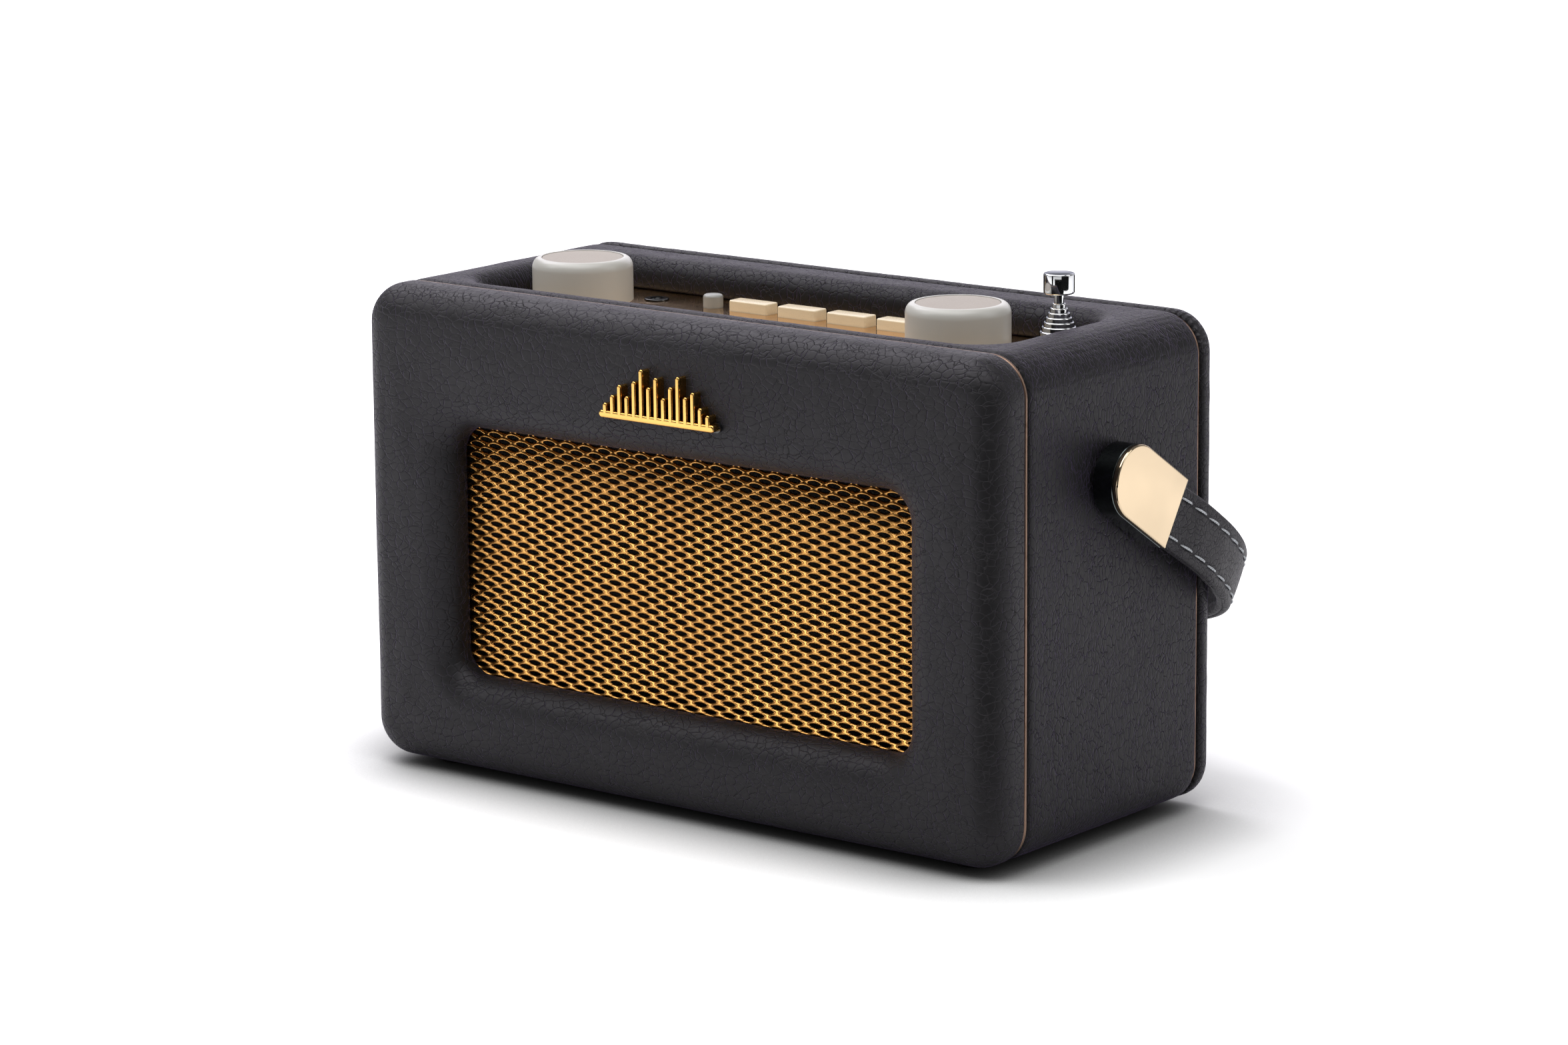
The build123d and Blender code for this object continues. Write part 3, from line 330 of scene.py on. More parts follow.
M["button_grey"] = plastic("button_grey", (0.27, 0.27, 0.255), rough=0.36, grain=0.000006, vary=0.05)
M["black"] = plastic("black_plastic", (0.012, 0.012, 0.013), rough=0.35, grain=0.00001, vary=0.15)
M["socket"] = plastic("socket_black", (0.007, 0.007, 0.008), rough=0.16, grain=0.0, vary=0.1, coat=0.5)
M["switch"] = plastic("switch_black", (0.02, 0.02, 0.021), rough=0.5, vary=0.15)
M["window"] = plastic("display_window", (0.006, 0.007, 0.009), rough=0.07, grain=0.0, vary=0.2, coat=1.0)
M["rubber"] = plastic("foot_rubber", (0.013, 0.013, 0.013), rough=0.75, grain=0.00004, scale=1600.0, spec=0.25, vary=0.2)
M["collar"] = plastic("collar_nylon", (0.78, 0.77, 0.72), rough=0.5, vary=0.04, sub=0.15)
M["encoder"] = plastic("encoder_body", (0.035, 0.04, 0.05), rough=0.45, vary=0.2)
M["guide"] = plastic("guide_plastic", (0.06, 0.06, 0.062), rough=0.5, vary=0.1)
M["door"] = plastic("door_plastic", (0.017, 0.017, 0.018), rough=0.5, grain=0.00004, scale=1900.0, vary=0.12)
M["tray"] = plastic("tray_plastic", (0.03, 0.03, 0.031), rough=0.5, vary=0.1)
M["cells"] = plastic("cell_jacket", (0.09, 0.10, 0.12), rough=0.3, vary=0.25, coat=0.3)
M["paper"] = woven("cone_paper", (0.035, 0.034, 0.033), thread=0.0009, rough=0.9)
M["cloth"] = woven("dust_cloth", (0.010, 0.010, 0.010), thread=0.0007, rough=0.95)
M["wood"] = wood("plywood")


def board_material():
    n = Nodes("board_green")
    v = n.obj()
    cells = n.voronoi(v, 260.0, "F1", 0.6)
    tracks = n.ramp(n.voronoi(v, 420.0), 0.02, 0.05)
    col = n.mix(tracks, (0.035, 0.16, 0.06), (0.012, 0.085, 0.03))
    col = n.mix(n.ramp(cells, 0.05, 0.09, 1.0, 0.0), col, (0.55, 0.5, 0.36))
    n.set(Base_Color=col, Roughness=n.ramp(cells, 0.0, 0.4, 0.32, 0.45), Normal=n.bump(tracks, 0.00004, 0.5))
    return n.mat


M["board"] = board_material()

CAD_LOOK = {
    "corner_blocks": "wood", "baffle_board": "wood", "rubber_feet": "rubber", "dust_cloth": "cloth", "speaker_basket": "speaker_steel",
    "speaker_cone": "paper", "speaker_magnet": "magnet", "case_screws": "steel", "emblem_plate": "socket", "control_plate": "plate",
    "display_window": "window", "display_module": "black", "main_board": "board", "board_posts": "black", "volume_shaft": "shaft",
    "volume_encoder": "encoder", "tuning_shaft": "shaft", "tuning_encoder": "encoder", "tuning_push_collar": "collar",
    "tact_switches": "switch", "headphone_socket": "socket", "aerial_guide_tube": "guide", "aerial_slip_ring": "brass_foot",
    "aerial_foot": "brass_foot", "aerial_hinge_pin": "steel", "bracket_bases": "bracket_dark", "pivot_screws": "steel",
    "battery_tray": "tray", "battery_cells": "cells", "battery_door": "door", "rear_sockets": "socket",
    "cabinet_shell": "leather_case", "front_panel": "leather_front", "rear_panel": "leather_rear", "strap": "leather_strap",
}
for name, o in nodes.items():
    m = M[CAD_LOOK.get(name, "black")]
    for s in o.material_slots:
        s.material = m

# ================================================================ mesh helpers


def make(name, verts, faces, mat, body, replaces=(), sharp=None, extra_mats=(), face_mat=None, recalc=True, weld=False):
    """verts in mm, one object riding on body."""
    me = bpy.data.meshes.new(name)
    me.from_pydata((np.asarray(verts, float) * MM).tolist(), [], [list(f) for f in faces])
    if recalc or weld:
        bm = bmesh.new()
        bm.from_mesh(me)
        if weld:
            bmesh.ops.remove_doubles(bm, verts=bm.verts, dist=2e-6)
        if recalc:
            bmesh.ops.recalc_face_normals(bm, faces=bm.faces)
        bm.to_mesh(me)
        bm.free()
    me.materials.append(mat)
    for m in extra_mats:
        me.materials.append(m)
    if face_mat is not None:
        me.polygons.foreach_set("material_index", np.asarray(face_mat, dtype=np.int32))
    me.polygons.foreach_set("use_smooth", np.ones(len(me.polygons), dtype=bool))
    if sharp is not None:
        me.set_sharp_from_angle(angle=math.radians(sharp))
    me.update()
    o = bpy.data.objects.new(name, me)
    bpy.context.scene.collection.objects.link(o)
    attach(o, body)
    if replaces:
        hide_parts(*replaces)
    return o


def grid_faces(rows, cols, close_rows=False, close_cols=True, base=0):
    """Quads over rows of cols points, wrapped as asked."""
    r = np.arange(rows if close_rows else rows - 1)
    c = np.arange(cols if close_cols else cols - 1)
    R, C = np.meshgrid(r, c, indexing="ij")
    R1, C1 = (R + 1) % rows, (C + 1) % cols
    f = np.stack([R * cols + C, R * cols + C1, R1 * cols + C1, R1 * cols + C], -1).reshape(-1, 4) + base
    return f.tolist()


def rounded(points, seg=6):
    """Closed outline from (x, y, radius) corners with each corner rounded."""
    out = []
    n = len(points)
    for i, (x, y, r) in enumerate(points):
        p = np.array([x, y], float)
        if r <= 0:
            out.append(p)
            continue
        a = np.array(points[i - 1][:2], float) - p
        b = np.array(points[(i + 1) % n][:2], float) - p
        la, lb = np.linalg.norm(a), np.linalg.norm(b)
        a, b = a / la, b / lb
        half = math.acos(max(-1, min(1, float(a @ b)))) / 2
        t = min(r / math.tan(half), la * 0.5, lb * 0.5)
        rr = t * math.tan(half)
        bis = (a + b) / np.linalg.norm(a + b)
        c = p + bis * rr / math.sin(half)
        s, e = p + a * t - c, p + b * t - c
        a0 = math.atan2(s[1], s[0])
        a1 = math.atan2(e[1], e[0])
        d = (a1 - a0 + math.pi) % (2 * math.pi) - math.pi
        for k in range(seg + 1):
            ang = a0 + d * k / seg
            out.append(c + rr * np.array([math.cos(ang), math.sin(ang)]))
    return np.array(out)


def lathe(name, profile, cx, cy, mat, body, replaces=(), n=96, sharp=38, closed=True):
    """Turned piece from (radius, height) points. A closed profile away from the axis makes a ring."""
    p = np.asarray(profile, float)
    a = np.linspace(0, 2 * math.pi, n, endpoint=False)
    verts, faces, index = [], [], []
    for r, z in p:
        if r < 1e-6:
            index.append([len(verts)])
            verts.append((cx, cy, z))
        else:
            index.append(list(range(len(verts), len(verts) + n)))
            verts.extend((cx + r * math.cos(t), cy + r * math.sin(t), z) for t in a)
    pairs = list(zip(index[:-1], index[1:])) + ([(index[-1], index[0])] if closed and len(index[0]) > 1 and len(index[-1]) > 1 else [])
    for u, v in pairs:
        for k in range(n):
            k1 = (k + 1) % n
            if len(u) == 1 and len(v) == 1:
                break
            if len(u) == 1:
                faces.append((u[0], v[k], v[k1]))
            elif len(v) == 1:
                faces.append((u[k], u[k1], v[0]))
            else:
                faces.append((u[k], u[k1], v[k1], v[k]))
    return make(name, verts, faces, mat, body, replaces, sharp)


def mitres(loop):
    """Outward mitre vectors of a counter-clockwise closed outline."""
    e = np.roll(loop, -1, 0) - loop
    e = e / np.linalg.norm(e, axis=1)[:, None]
    n = np.stack([e[:, 1], -e[:, 0]], 1)
    m = np.roll(n, 1, 0) + n
    return m / (1 + np.sum(np.roll(n, 1, 0) * n, 1))[:, None]


def prism(name, loop, levels, place, mat, body, replaces=(), sharp=40, part=None):
    """Outline drawn at (inset, height) levels and closed at both ends. place maps (x, y, height) to mm."""
    loop = np.asarray(loop, float)
    m = mitres(loop)
    verts, faces = [], []
    n = len(loop)
    for inset, h in levels:
        q = loop - m * inset
        verts.extend(place(x, y, h) for x, y in q)
    faces += grid_faces(len(levels), n)
    faces.append(list(range(n))[::-1])
    faces.append([(len(levels) - 1) * n + i for i in range(n)])
    if part is not None:
        return verts, faces
    return make(name, verts, faces, mat, body, replaces, sharp)


def bevel_levels(h0, h1, r, seg=5, bottom=0.0):
    """Levels of a block from h0 to h1 with its top edge rounded by r, and its bottom edge by bottom."""
    out = []
    if bottom:
        for k in range(seg + 1):
            t = math.pi / 2 * k / seg
            out.append((bottom * (1 - math.sin(t)), h0 + bottom * (1 - math.cos(t))))
    else:
        out.append((0.0, h0))
    for k in range(seg + 1):
        t = math.pi / 2 * k / seg
        out.append((r * (1 - math.cos(t)), h1 - r + r * math.sin(t)))
    return out


def rr_loop(w, h, r, cx, cy, nw, nh, nc):
    """Rounded rectangle with fixed counts, counter-clockwise from the lower left, and its outward normals."""
    pts, nor = [], []

    def side(x0, y0, x1, y1, n, nx, ny):
        for k in range(n + 1):
            t = k / n
            pts.append((x0 + (x1 - x0) * t, y0 + (y1 - y0) * t))
            nor.append((nx, ny))

    def corner(x, y, a0):
        for k in range(1, nc):
            a = a0 + math.pi / 2 * k / nc
            pts.append((x + r * math.cos(a), y + r * math.sin(a)))
            nor.append((math.cos(a), math.sin(a)))

    x0, x1, y0, y1 = cx - w / 2, cx + w / 2, cy - h / 2, cy + h / 2
    side(x0 + r, y0, x1 - r, y0, nw, 0, -1)
    corner(x1 - r, y0 + r, -math.pi / 2)
    side(x1, y0 + r, x1, y1 - r, nh, 1, 0)
    corner(x1 - r, y1 - r, 0)
    side(x1 - r, y1, x0 + r, y1, nw, 0, 1)
    corner(x0 + r, y1 - r, math.pi / 2)
    side(x0, y1 - r, x0, y0 + r, nh, -1, 0)
    corner(x0 + r, y0 + r, math.pi)
    return np.array(pts), np.array(nor)


def wobble(p, seed, wave, amount):
    """A smooth, repeatable swell at each point of p, in mm."""
    g = np.random.default_rng(seed)
    out = np.zeros(len(p))
    for _ in range(9):
        k = g.normal(size=3)
        k = k / np.linalg.norm(k) * (2 * math.pi / (wave * g.uniform(0.7, 1.6)))
        out += np.sin(p @ k + g.uniform(0, 2 * math.pi))
    return out / 9 * 1.9 * amount


def spline(points, step):
    """Smooth curve through the points, sampled at an even step. Returns points and unit tangents."""
    p = np.asarray(points, float)
    d = np.r_[0, np.cumsum(np.linalg.norm(np.diff(p, axis=0), axis=1))]
    n = len(p)
    h = np.diff(d)
    A = np.zeros((n, n))
    B = np.zeros((n, p.shape[1]))
    A[0, 0] = A[-1, -1] = 1
    for i in range(1, n - 1):
        A[i, i - 1], A[i, i], A[i, i + 1] = h[i - 1], 2 * (h[i - 1] + h[i]), h[i]
        B[i] = 6 * ((p[i + 1] - p[i]) / h[i] - (p[i] - p[i - 1]) / h[i - 1])
    m = np.linalg.solve(A, B)
    fine = np.linspace(0, d[-1], 4000)
    i = np.clip(np.searchsorted(d, fine, side="right") - 1, 0, n - 2)
    t0, t1 = (d[i + 1] - fine)[:, None], (fine - d[i])[:, None]
    hh = h[i][:, None]
    q = m[i] * t0 ** 3 / (6 * hh) + m[i + 1] * t1 ** 3 / (6 * hh) + (p[i] / hh - m[i] * hh / 6) * t0 + (p[i + 1] / hh - m[i + 1] * hh / 6) * t1
    L = np.r_[0, np.cumsum(np.linalg.norm(np.diff(q, axis=0), axis=1))]
    s = np.linspace(0, L[-1], int(round(L[-1] / step)) + 1)
    out = np.stack([np.interp(s, L, q[:, k]) for k in range(p.shape[1])], 1)
    tan = np.gradient(out, axis=0)
    tan /= np.linalg.norm(tan, axis=1)[:, None]
    return out, tan, s


# ================================================================ front panel: leather over foam over board
def build_front():
    nw, nh, nc = 96, 46, 14
    outer, on = rr_loop(W, H, CORNER, 0, ZC, nw, nh, nc)
    inner, inn = rr_loop(SPK_W, SPK_H, SPK_R, 0, SPK_Z, nw, nh, nc)
    rings, rid = [], []

    def ring_out(d, y):
        q = outer - on * d
        rings.append(np.stack([q[:, 0], np.full(len(q), y), q[:, 1]], 1))

    def ring_in(e, y):
        q = inner + inn * e
        rings.append(np.stack([q[:, 0], np.full(len(q), y), q[:, 1]], 1))

    # back edge, tucked in beside the bead
    ring_out(3.2, FB0)
    ring_out(1.3, FB0)
    for k in range(1, 6):
        t = math.pi / 2 * k / 5
        ring_out(1.15 * (1 - math.sin(t)), FB0 - 1.15 * (1 - math.cos(t)))
    ring_out(0.0, FB0 - 2.4)
    roll = 8.5
    ring_out(0.0, YF + roll + 0.8)
    for k in range(0, 15):
        t = math.pi / 2 * k / 14
        ring_out(roll * (1 - math.cos(t)), YF + roll * (1 - math.sin(t)))
    # flat face, slightly crowned by the foam, from the outer roll to the inner roll
    ea, yb = 10.0, 7.25
    a3 = rings[-1]
    q = inner + inn * ea
    b3 = np.stack([q[:, 0], np.full(len(q), YF), q[:, 1]], 1)
    steps = 11
    for k in range(1, steps):
        t = k / steps
        r = a3 * (1 - t) + b3 * t
        gap = np.linalg.norm(b3 - a3, axis=1)
        r[:, 1] -= 0.38 * np.sin(math.pi * t) * np.clip(gap / 24.0, 0.25, 1.0)
        rings.append(r)
    for k in range(0, 15):
        t = math.pi / 2 * k / 14
        ring_in(ea * (1 - math.sin(t)), YF + yb * (1 - math.cos(t)))
    ring_in(0.0, YF + yb + 1.0)
    ring_in(0.05, YF + 9.2)
    ring_in(0.5, YF + 9.55)
    ring_in(3.4, YF + 9.6)
    ring_in(3.4, FB0)
    P = np.concatenate(rings)
    n = len(outer)
    rows = len(rings)
    # padding swells, and small pulls in at the sides and the top
    face = (P[:, 1] < FB0 - 1.4) & (P[:, 1] < YF + 9.0)
    w = wobble(P, 3, 34.0, 0.13) + wobble(P, 4, 11.0, 0.045)
    edge = np.clip((P[:, 1] - YF) / 6.0, 0, 1)
    P[:, 1] += np.where(face, w * (1 - 0.5 * edge), 0.0)
    side = face & (np.abs(P[:, 0]) > W / 2 - 0.3)
    P[:, 0] += np.where(side, -np.sign(P[:, 0]) * np.abs(w) * 0.6, 0.0)
    top = face & (P[:, 2] > ZT - 0.3)
    P[:, 2] -= np.where(top, np.abs(w) * 0.6, 0.0)
    f = grid_faces(rows, n, close_rows=True)
    o = make("front_padded_panel", P, f, M["leather_front"], "case", ("front_panel",), 60)
    return o


front = build_front()


# ================================================================ case sleeve and rear panel, from the CAD solids
def remeshed(node, name, mat, voxel, smooth, detail):
    src = nodes[node].data
    me = src.copy()
    me.name = name
    bm = bmesh.new()
    bm.from_mesh(me)
    bmesh.ops.remove_doubles(bm, verts=bm.verts, dist=2e-6)
    bm.to_mesh(me)
    bm.free()
    o = bpy.data.objects.new(name + "_tmp", me)
    bpy.context.scene.collection.objects.link(o)
    r = o.modifiers.new("r", "REMESH")
    r.mode = "VOXEL"
    r.voxel_size = voxel * MM
    s = o.modifiers.new("s", "SMOOTH")
    s.factor, s.iterations = 0.5, smooth
    dg = bpy.context.evaluated_depsgraph_get()
    done = bpy.data.meshes.new_from_object(o.evaluated_get(dg))
    bpy.data.objects.remove(o)
    v = np.empty(len(done.vertices) * 3)
    done.vertices.foreach_get("co", v)
    p = v.reshape(-1, 3) / MM
    nn = np.empty(len(done.vertices) * 3)
    done.vertices.foreach_get("normal", nn)
    nn = nn.reshape(-1, 3)
    p = detail(p, nn)
    done.vertices.foreach_set("co", (p * MM).ravel())
    done.materials.clear()
    done.materials.append(mat)
    done.polygons.foreach_set("use_smooth", np.ones(len(done.polygons), dtype=bool))
    done.polygons.foreach_set("material_index", np.zeros(len(done.polygons), dtype=np.int32))
    done.update()
    q = bpy.data.objects.new(name, done)
    bpy.context.scene.collection.objects.link(q)
    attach(q, "case")
    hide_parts(node)
    return q


def case_detail(p, n):
    w = -np.abs(wobble(p, 11, 30.0, 0.10)) + wobble(p, 12, 9.0, 0.03)
    out = (np.abs(p[:, 0]) > W / 2 - 6) | (p[:, 2] > ZT - 9) | (p[:, 2] < Z0 + 1.5)
    return p + n * (w * out)[:, None]


def rear_detail(p, n):
    w = -np.abs(wobble(p, 21, 22.0, 0.08)) + wobble(p, 22, 6.0, 0.03)
    out = (np.abs(p[:, 0]) > W / 2 - 5) | (p[:, 2] > ZT - 5) | (p[:, 2] < Z0 + 5)
    return p + n * (w * out)[:, None]


case = remeshed("cabinet_shell", "case_sleeve", M["leather_case"], 0.95, 6, case_detail)
rear = remeshed("rear_panel", "rear_cover", M["leather_rear"], 0.75, 4, rear_detail)


# ================================================================ copper beads
def bead(name, y0, y1, node, low):
    """Trim bead between the panels and the case, its crown set low mm below the leather."""
    ym = (y0 + y1) / 2
    loop, nor = rr_loop(W - 1.0 - 2 * low, H - 1.0 - 2 * low, CORNER - 0.5 - low, 0, ZC, 40, 24, 16)
    sec = []
    for k in range(13):
        t = -math.pi / 2 + math.pi * k / 12
        sec.append((0.5 * math.cos(t), ym + 0.56 * math.sin(t)))
    sec += [(-5.0, ym + 0.56), (-5.0, ym - 0.56)]
    rings = []
    for d, y in sec:
        q = loop + nor * d
        rings.append(np.stack([q[:, 0], np.full(len(q), y), q[:, 1]], 1))
    return make(name, np.concatenate(rings), grid_faces(len(sec), len(loop), close_rows=True), M["copper"], "case", (node,), 50)


bead("front_trim_bead", FB0, FB1, "front_bead", 0.3)
bead("rear_trim_bead", RB0, RB1, "rear_bead", 1.0)


# ================================================================ expanded-metal grille
def build_grille():
    px, pz = 6.13, 1.4625
    m = 16
    hx, hz, a = 2.05, 0.75, 0.62
    verts, faces = [], []
    y0 = YF + 9.6 + 0.75
    lx, lz = SPK_W / 2 + 2.2, SPK_H / 2 + 2.0
    ang = np.linspace(0, 2 * math.pi, m, endpoint=False)
    c, s = np.cos(ang), np.sin(ang)
    den = np.abs(c) / (px / 2) + np.abs(s) / pz
    ox, oz = c / den, s / den
    # evenly spread along each side of the rhombus
    q = m // 4
    ox, oz = [], []
    corners = [(px / 2, 0), (0, pz), (-px / 2, 0), (0, -pz), (px / 2, 0)]
    for i in range(4):
        for k in range(q):
            t = k / q
            ox.append(corners[i][0] * (1 - t) + corners[i + 1][0] * t)
            oz.append(corners[i][1] * (1 - t) + corners[i + 1][1] * t)
    ox, oz = np.array(ox), np.array(oz)
    t = np.array([(i // q) * math.pi / 2 + math.pi / 2 * (i % q) / q for i in range(m)])
    ix, iz = hx * np.cos(t), hz * np.sign(np.sin(t)) * np.abs(np.sin(t)) ** 1.1
    iy = -a * np.sign(np.sin(t)) * np.abs(np.sin(t)) ** 0.7
    iz = iz + 0.045 * ix
    mx, mz = (ox + ix) / 2, (oz + iz) / 2
    my = iy * 0.45 - 0.10
    cx0, cz0 = 0.0, SPK_Z
    n_i, n_j = int(lx / px) + 2, int(lz / pz) + 2
    for j in range(-n_j, n_j + 1):
        for i in range(-n_i, n_i + 1):
            x = cx0 + i * px + (px / 2 if j % 2 else 0.0)
            z = cz0 + j * pz
            if abs(x) > lx - 0.6 or abs(z - SPK_Z) > lz - 0.4:
                continue
            rx, rz = abs(x) - (SPK_W / 2 - 5.5), abs(z - SPK_Z) - (SPK_H / 2 - 5.5)
            if rx > 0 and rz > 0 and math.hypot(rx, rz) > 8.6:
                continue
            b = len(verts)
            for k in range(m):
                verts.append((x + ox[k], y0, z + oz[k]))
            for k in range(m):
                verts.append((x + mx[k], y0 + my[k], z + mz[k]))
            for k in range(m):
                verts.append((x + ix[k], y0 + iy[k], z + iz[k]))
            for r in range(2):
                for k in range(m):
                    k1 = (k + 1) % m
                    faces.append((b + r * m + k, b + r * m + k1, b + (r + 1) * m + k1, b + (r + 1) * m + k))
    o = make("grille_mesh", verts, faces, M["gold_grille"], "case", ("speaker_grille",), 180, weld=True)
    sol = o.modifiers.new("thickness", "SOLIDIFY")
    sol.thickness = 0.40 * MM
    sol.offset = 0.0
    return o


grille = build_grille()


# ================================================================ emblem: the rods of a sound wave on a slim bar
ROD_H = (3.4, 5.6, 8.4, 5.8, 9.8, 13.0, 8.8, 11.4, 6.6, 9.6, 12.4, 7.6, 9.0, 5.4, 3.8)


def capsule_loop(length, width, n=12):
    """Upright slot outline about its own centre, counter-clockwise."""
    r, h = width / 2, length / 2 - width / 2
    pts = [(r * math.cos(t), -h + r * math.sin(t)) for t in np.linspace(-math.pi, 0, n + 1)]
    pts += [(r * math.cos(t), h + r * math.sin(t)) for t in np.linspace(0, math.pi, n + 1)]
    return np.array(pts)


def build_emblem():
    verts, faces = [], []

    def add(v, f):
        b = len(verts)
        verts.extend(v)
        faces.extend([[i + b for i in q] for q in f])

    zb = ORN_Z - 3.6
    for i, h in enumerate(ROD_H):
        cx, cz = ORN_X + 2.35 * (i - 7), zb - 0.55 + h / 2
        add(*prism("", capsule_loop(h, 1.34), bevel_levels(0, 2.97, 0.4, 5) + [(0.5, 2.985)], lambda x, z, t: (cx + x, YF - 0.03 - t, cz + z), None, None, part=True))
    bar = capsule_loop(37.0, 1.9)[:, ::-1] * np.array([1, -1])
    add(*prism("", bar, bevel_levels(0.8, 2.97, 0.5, 5) + [(0.7, 2.985)], lambda x, z, t: (ORN_X + x, YF - 0.02 - t, zb + z), None, None, part=True))
    return make("emblem_sound_rods", verts, faces, M["gold_emblem"], "case", ("emblem_ornament",), 42)


build_emblem()


# ================================================================ knobs
def knob(prefix, cx, body, nodes_names):
    top, bot, r = KNOB_TOP, KNOB_BOT, KNOB_R
    pr = [(11.2, bot), (r - 0.25, bot), (r, bot + 0.25)]
    R, S = 2.2, 2.8
    for k in range(13):
        t = math.pi / 2 * k / 12
        pr.append((r - R + R * math.cos(t) ** 0.9, top - S + S * math.sin(t)))
    pr += [(10.74, top - 0.03), (10.72, top - 0.12), (10.72, top - 1.4), (3.05, top - 1.4), (3.05, bot + 0.6), (5.0, bot + 0.6),
           (5.0, top - 3.2), (10.2, top - 3.2), (11.2, bot + 0.2)]
    lathe(prefix + "_knob_skirt", pr, cx, KNOB_Y, M["knob"], body, (nodes_names[0],), 128, 35)
    c = [(0, top - 1.35), (10.6, top - 1.35), (10.66, top - 0.34), (10.52, top - 0.17), (9.6, top - 0.13), (5.0, top - 0.10), (0, top - 0.09)]
    lathe(prefix + "_knob_disc", c, cx, KNOB_Y, M["knob_cap"], body, (nodes_names[1],), 128, 35)


knob("volume", VOL_X, "volume", ("volume_knob", "volume_knob_cap"))
knob("tuning", TUN_X, "tuning", ("tuning_knob", "tuning_knob_cap"))


# ================================================================ keys
def build_keys():
    for i, cx in enumerate(BTN_X):
        node = "preset_button_%d" % (i + 1)
        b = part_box(node)
        z_low = b[0][2] / MM
        hw, hd = BTN_W / 2, BTN_D / 2
        verts, faces = [], []

        def add(v, f):
            k = len(verts)
            verts.extend(v)
            faces.extend([[j + k for j in q] for q in f])

        at = lambda x, y, h: (cx + x, ROW_Y + y, h)
        fl_top = PLATE - 1.2 - 0.1
        loop = rounded([(-hw, -hd, 0.62), (hw, -hd, 0.62), (hw, hd, 0.62), (-hw, hd, 0.62)], 6)
        add(*prism("", loop, bevel_levels(fl_top - 0.2, BTN_TOP, 0.42, 5), at, None, None, part=True))
        w2, d2 = hw + 0.9, hd + 1.0
        loop = rounded([(-w2, -d2, 0.8), (w2, -d2, 0.8), (w2, d2, 0.8), (-w2, d2, 0.8)], 4)
        add(*prism("", loop, bevel_levels(fl_top - 1.2, fl_top, 0.15, 2), at, None, None, part=True))
        loop = rounded([(-1.5, -1.5, 0.2), (1.5, -1.5, 0.2), (1.5, 1.5, 0.2), (-1.5, 1.5, 0.2)], 3)
        add(*prism("", loop, bevel_levels(z_low, fl_top - 1.0, 0.1, 2), at, None, None, part=True))
        make("key_%d" % (i + 1), verts, faces, M["ivory"], "preset_%d" % (i + 1), (node,), 40)
    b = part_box("standby_button")
    z_low = b[0][2] / MM
    fl_top = PLATE - 1.2 - 0.1
    pr = [(0, z_low), (1.4, z_low), (1.5, z_low + 0.1), (1.5, fl_top - 1.2), (STBY_R + 1.0, fl_top - 1.2), (STBY_R + 1.0, fl_top), (STBY_R, fl_top + 0.02)]
    R = 0.75
    for k in range(9):
        t = math.pi / 2 * k / 8
        pr.append((STBY_R - R + R * math.cos(t), STBY_TOP - 0.1 - R + R * math.sin(t)))
    pr += [(0.9, STBY_TOP - 0.02), (0, STBY_TOP)]
    lathe("standby_key", pr, STBY_X, ROW_Y, M["button_grey"], "standby", ("standby_button",), 64, 40)


build_keys()

# bright contact sleeve down in the headphone socket
lathe("socket_sleeve", [(1.78, PLATE - 4.0), (1.78, PLATE + 0.1), (1.7, PLATE + 0.18), (1.5, PLATE + 0.1), (1.5, PLATE - 4.0)], JACK_X, ROW_Y, M["chrome"], "case",
      n=48, sharp=40)

# ================================================================ aerial
fl = [(4.95, PLATE - 2.4), (5.8, PLATE - 2.4), (5.8, PLATE + 0.0), (6.5, PLATE + 0.0), (6.5, PLATE + 2.2)]
for k in range(7):
    t = math.pi / 2 * k / 6
    fl.append((5.6 + 0.9 * math.cos(t), PLATE + 2.5 + 0.9 * math.sin(t)))
fl += [(5.15, PLATE + 3.4), (4.95, PLATE + 3.2)]
lathe("aerial_collar", fl, AER_X, AER_Y, M["chrome"], "case", ("aerial_flange",), 96, 40)
FOOT_Z = Z0 + 6.0 + 1.6
for k in range(8):
    ro = 4.9 - 0.53 * k
    zb = Z0 + 20.0 + k
    zt = PLATE + 5.1 + 1.16 * k
    R = 0.34 if k else 0.5
    body = "aerial_mast" if k == 0 else "mast_%d" % (k + 1)
    arc = [(ro - R + R * math.cos(t), zt - R + R * math.sin(t)) for t in np.linspace(0, math.pi / 2, 7)]
    if k < 7:
        ri = ro - 0.45
        pr = [(ri, zb), (ro, zb)] + arc + [(ri + 0.02, zt), (ri, zt - 0.12)]
        o = lathe("aerial_section_%d" % (k + 1), pr, AER_X, AER_Y, M["chrome"], body, ("mast_section_%d" % (k + 1),), 96, 40)
    else:
        pr = [(0, zb), (ro, zb), (ro, CAP_Z0), (0, CAP_Z0)]
        lathe("aerial_section_8", pr, AER_X, AER_Y, M["chrome"], body, ("mast_section_8",), 64, 40)


def aerial_tongue():
    """Tongue under the outer tube, on the tilt pin, riding with it."""
    loop = rounded([(-1.5, -3.2, 0.3), (1.5, -3.2, 0.3), (1.5, 3.2, 0.3), (-1.5, 3.2, 0.3)], 4)
    prism("aerial_tongue", loop, bevel_levels(FOOT_Z + 6.6, Z0 + 20.6, 0.1, 2, bottom=0.3), lambda x, y, h: (AER_X + x, AER_Y + y, h), M["chrome"], "aerial_mast")


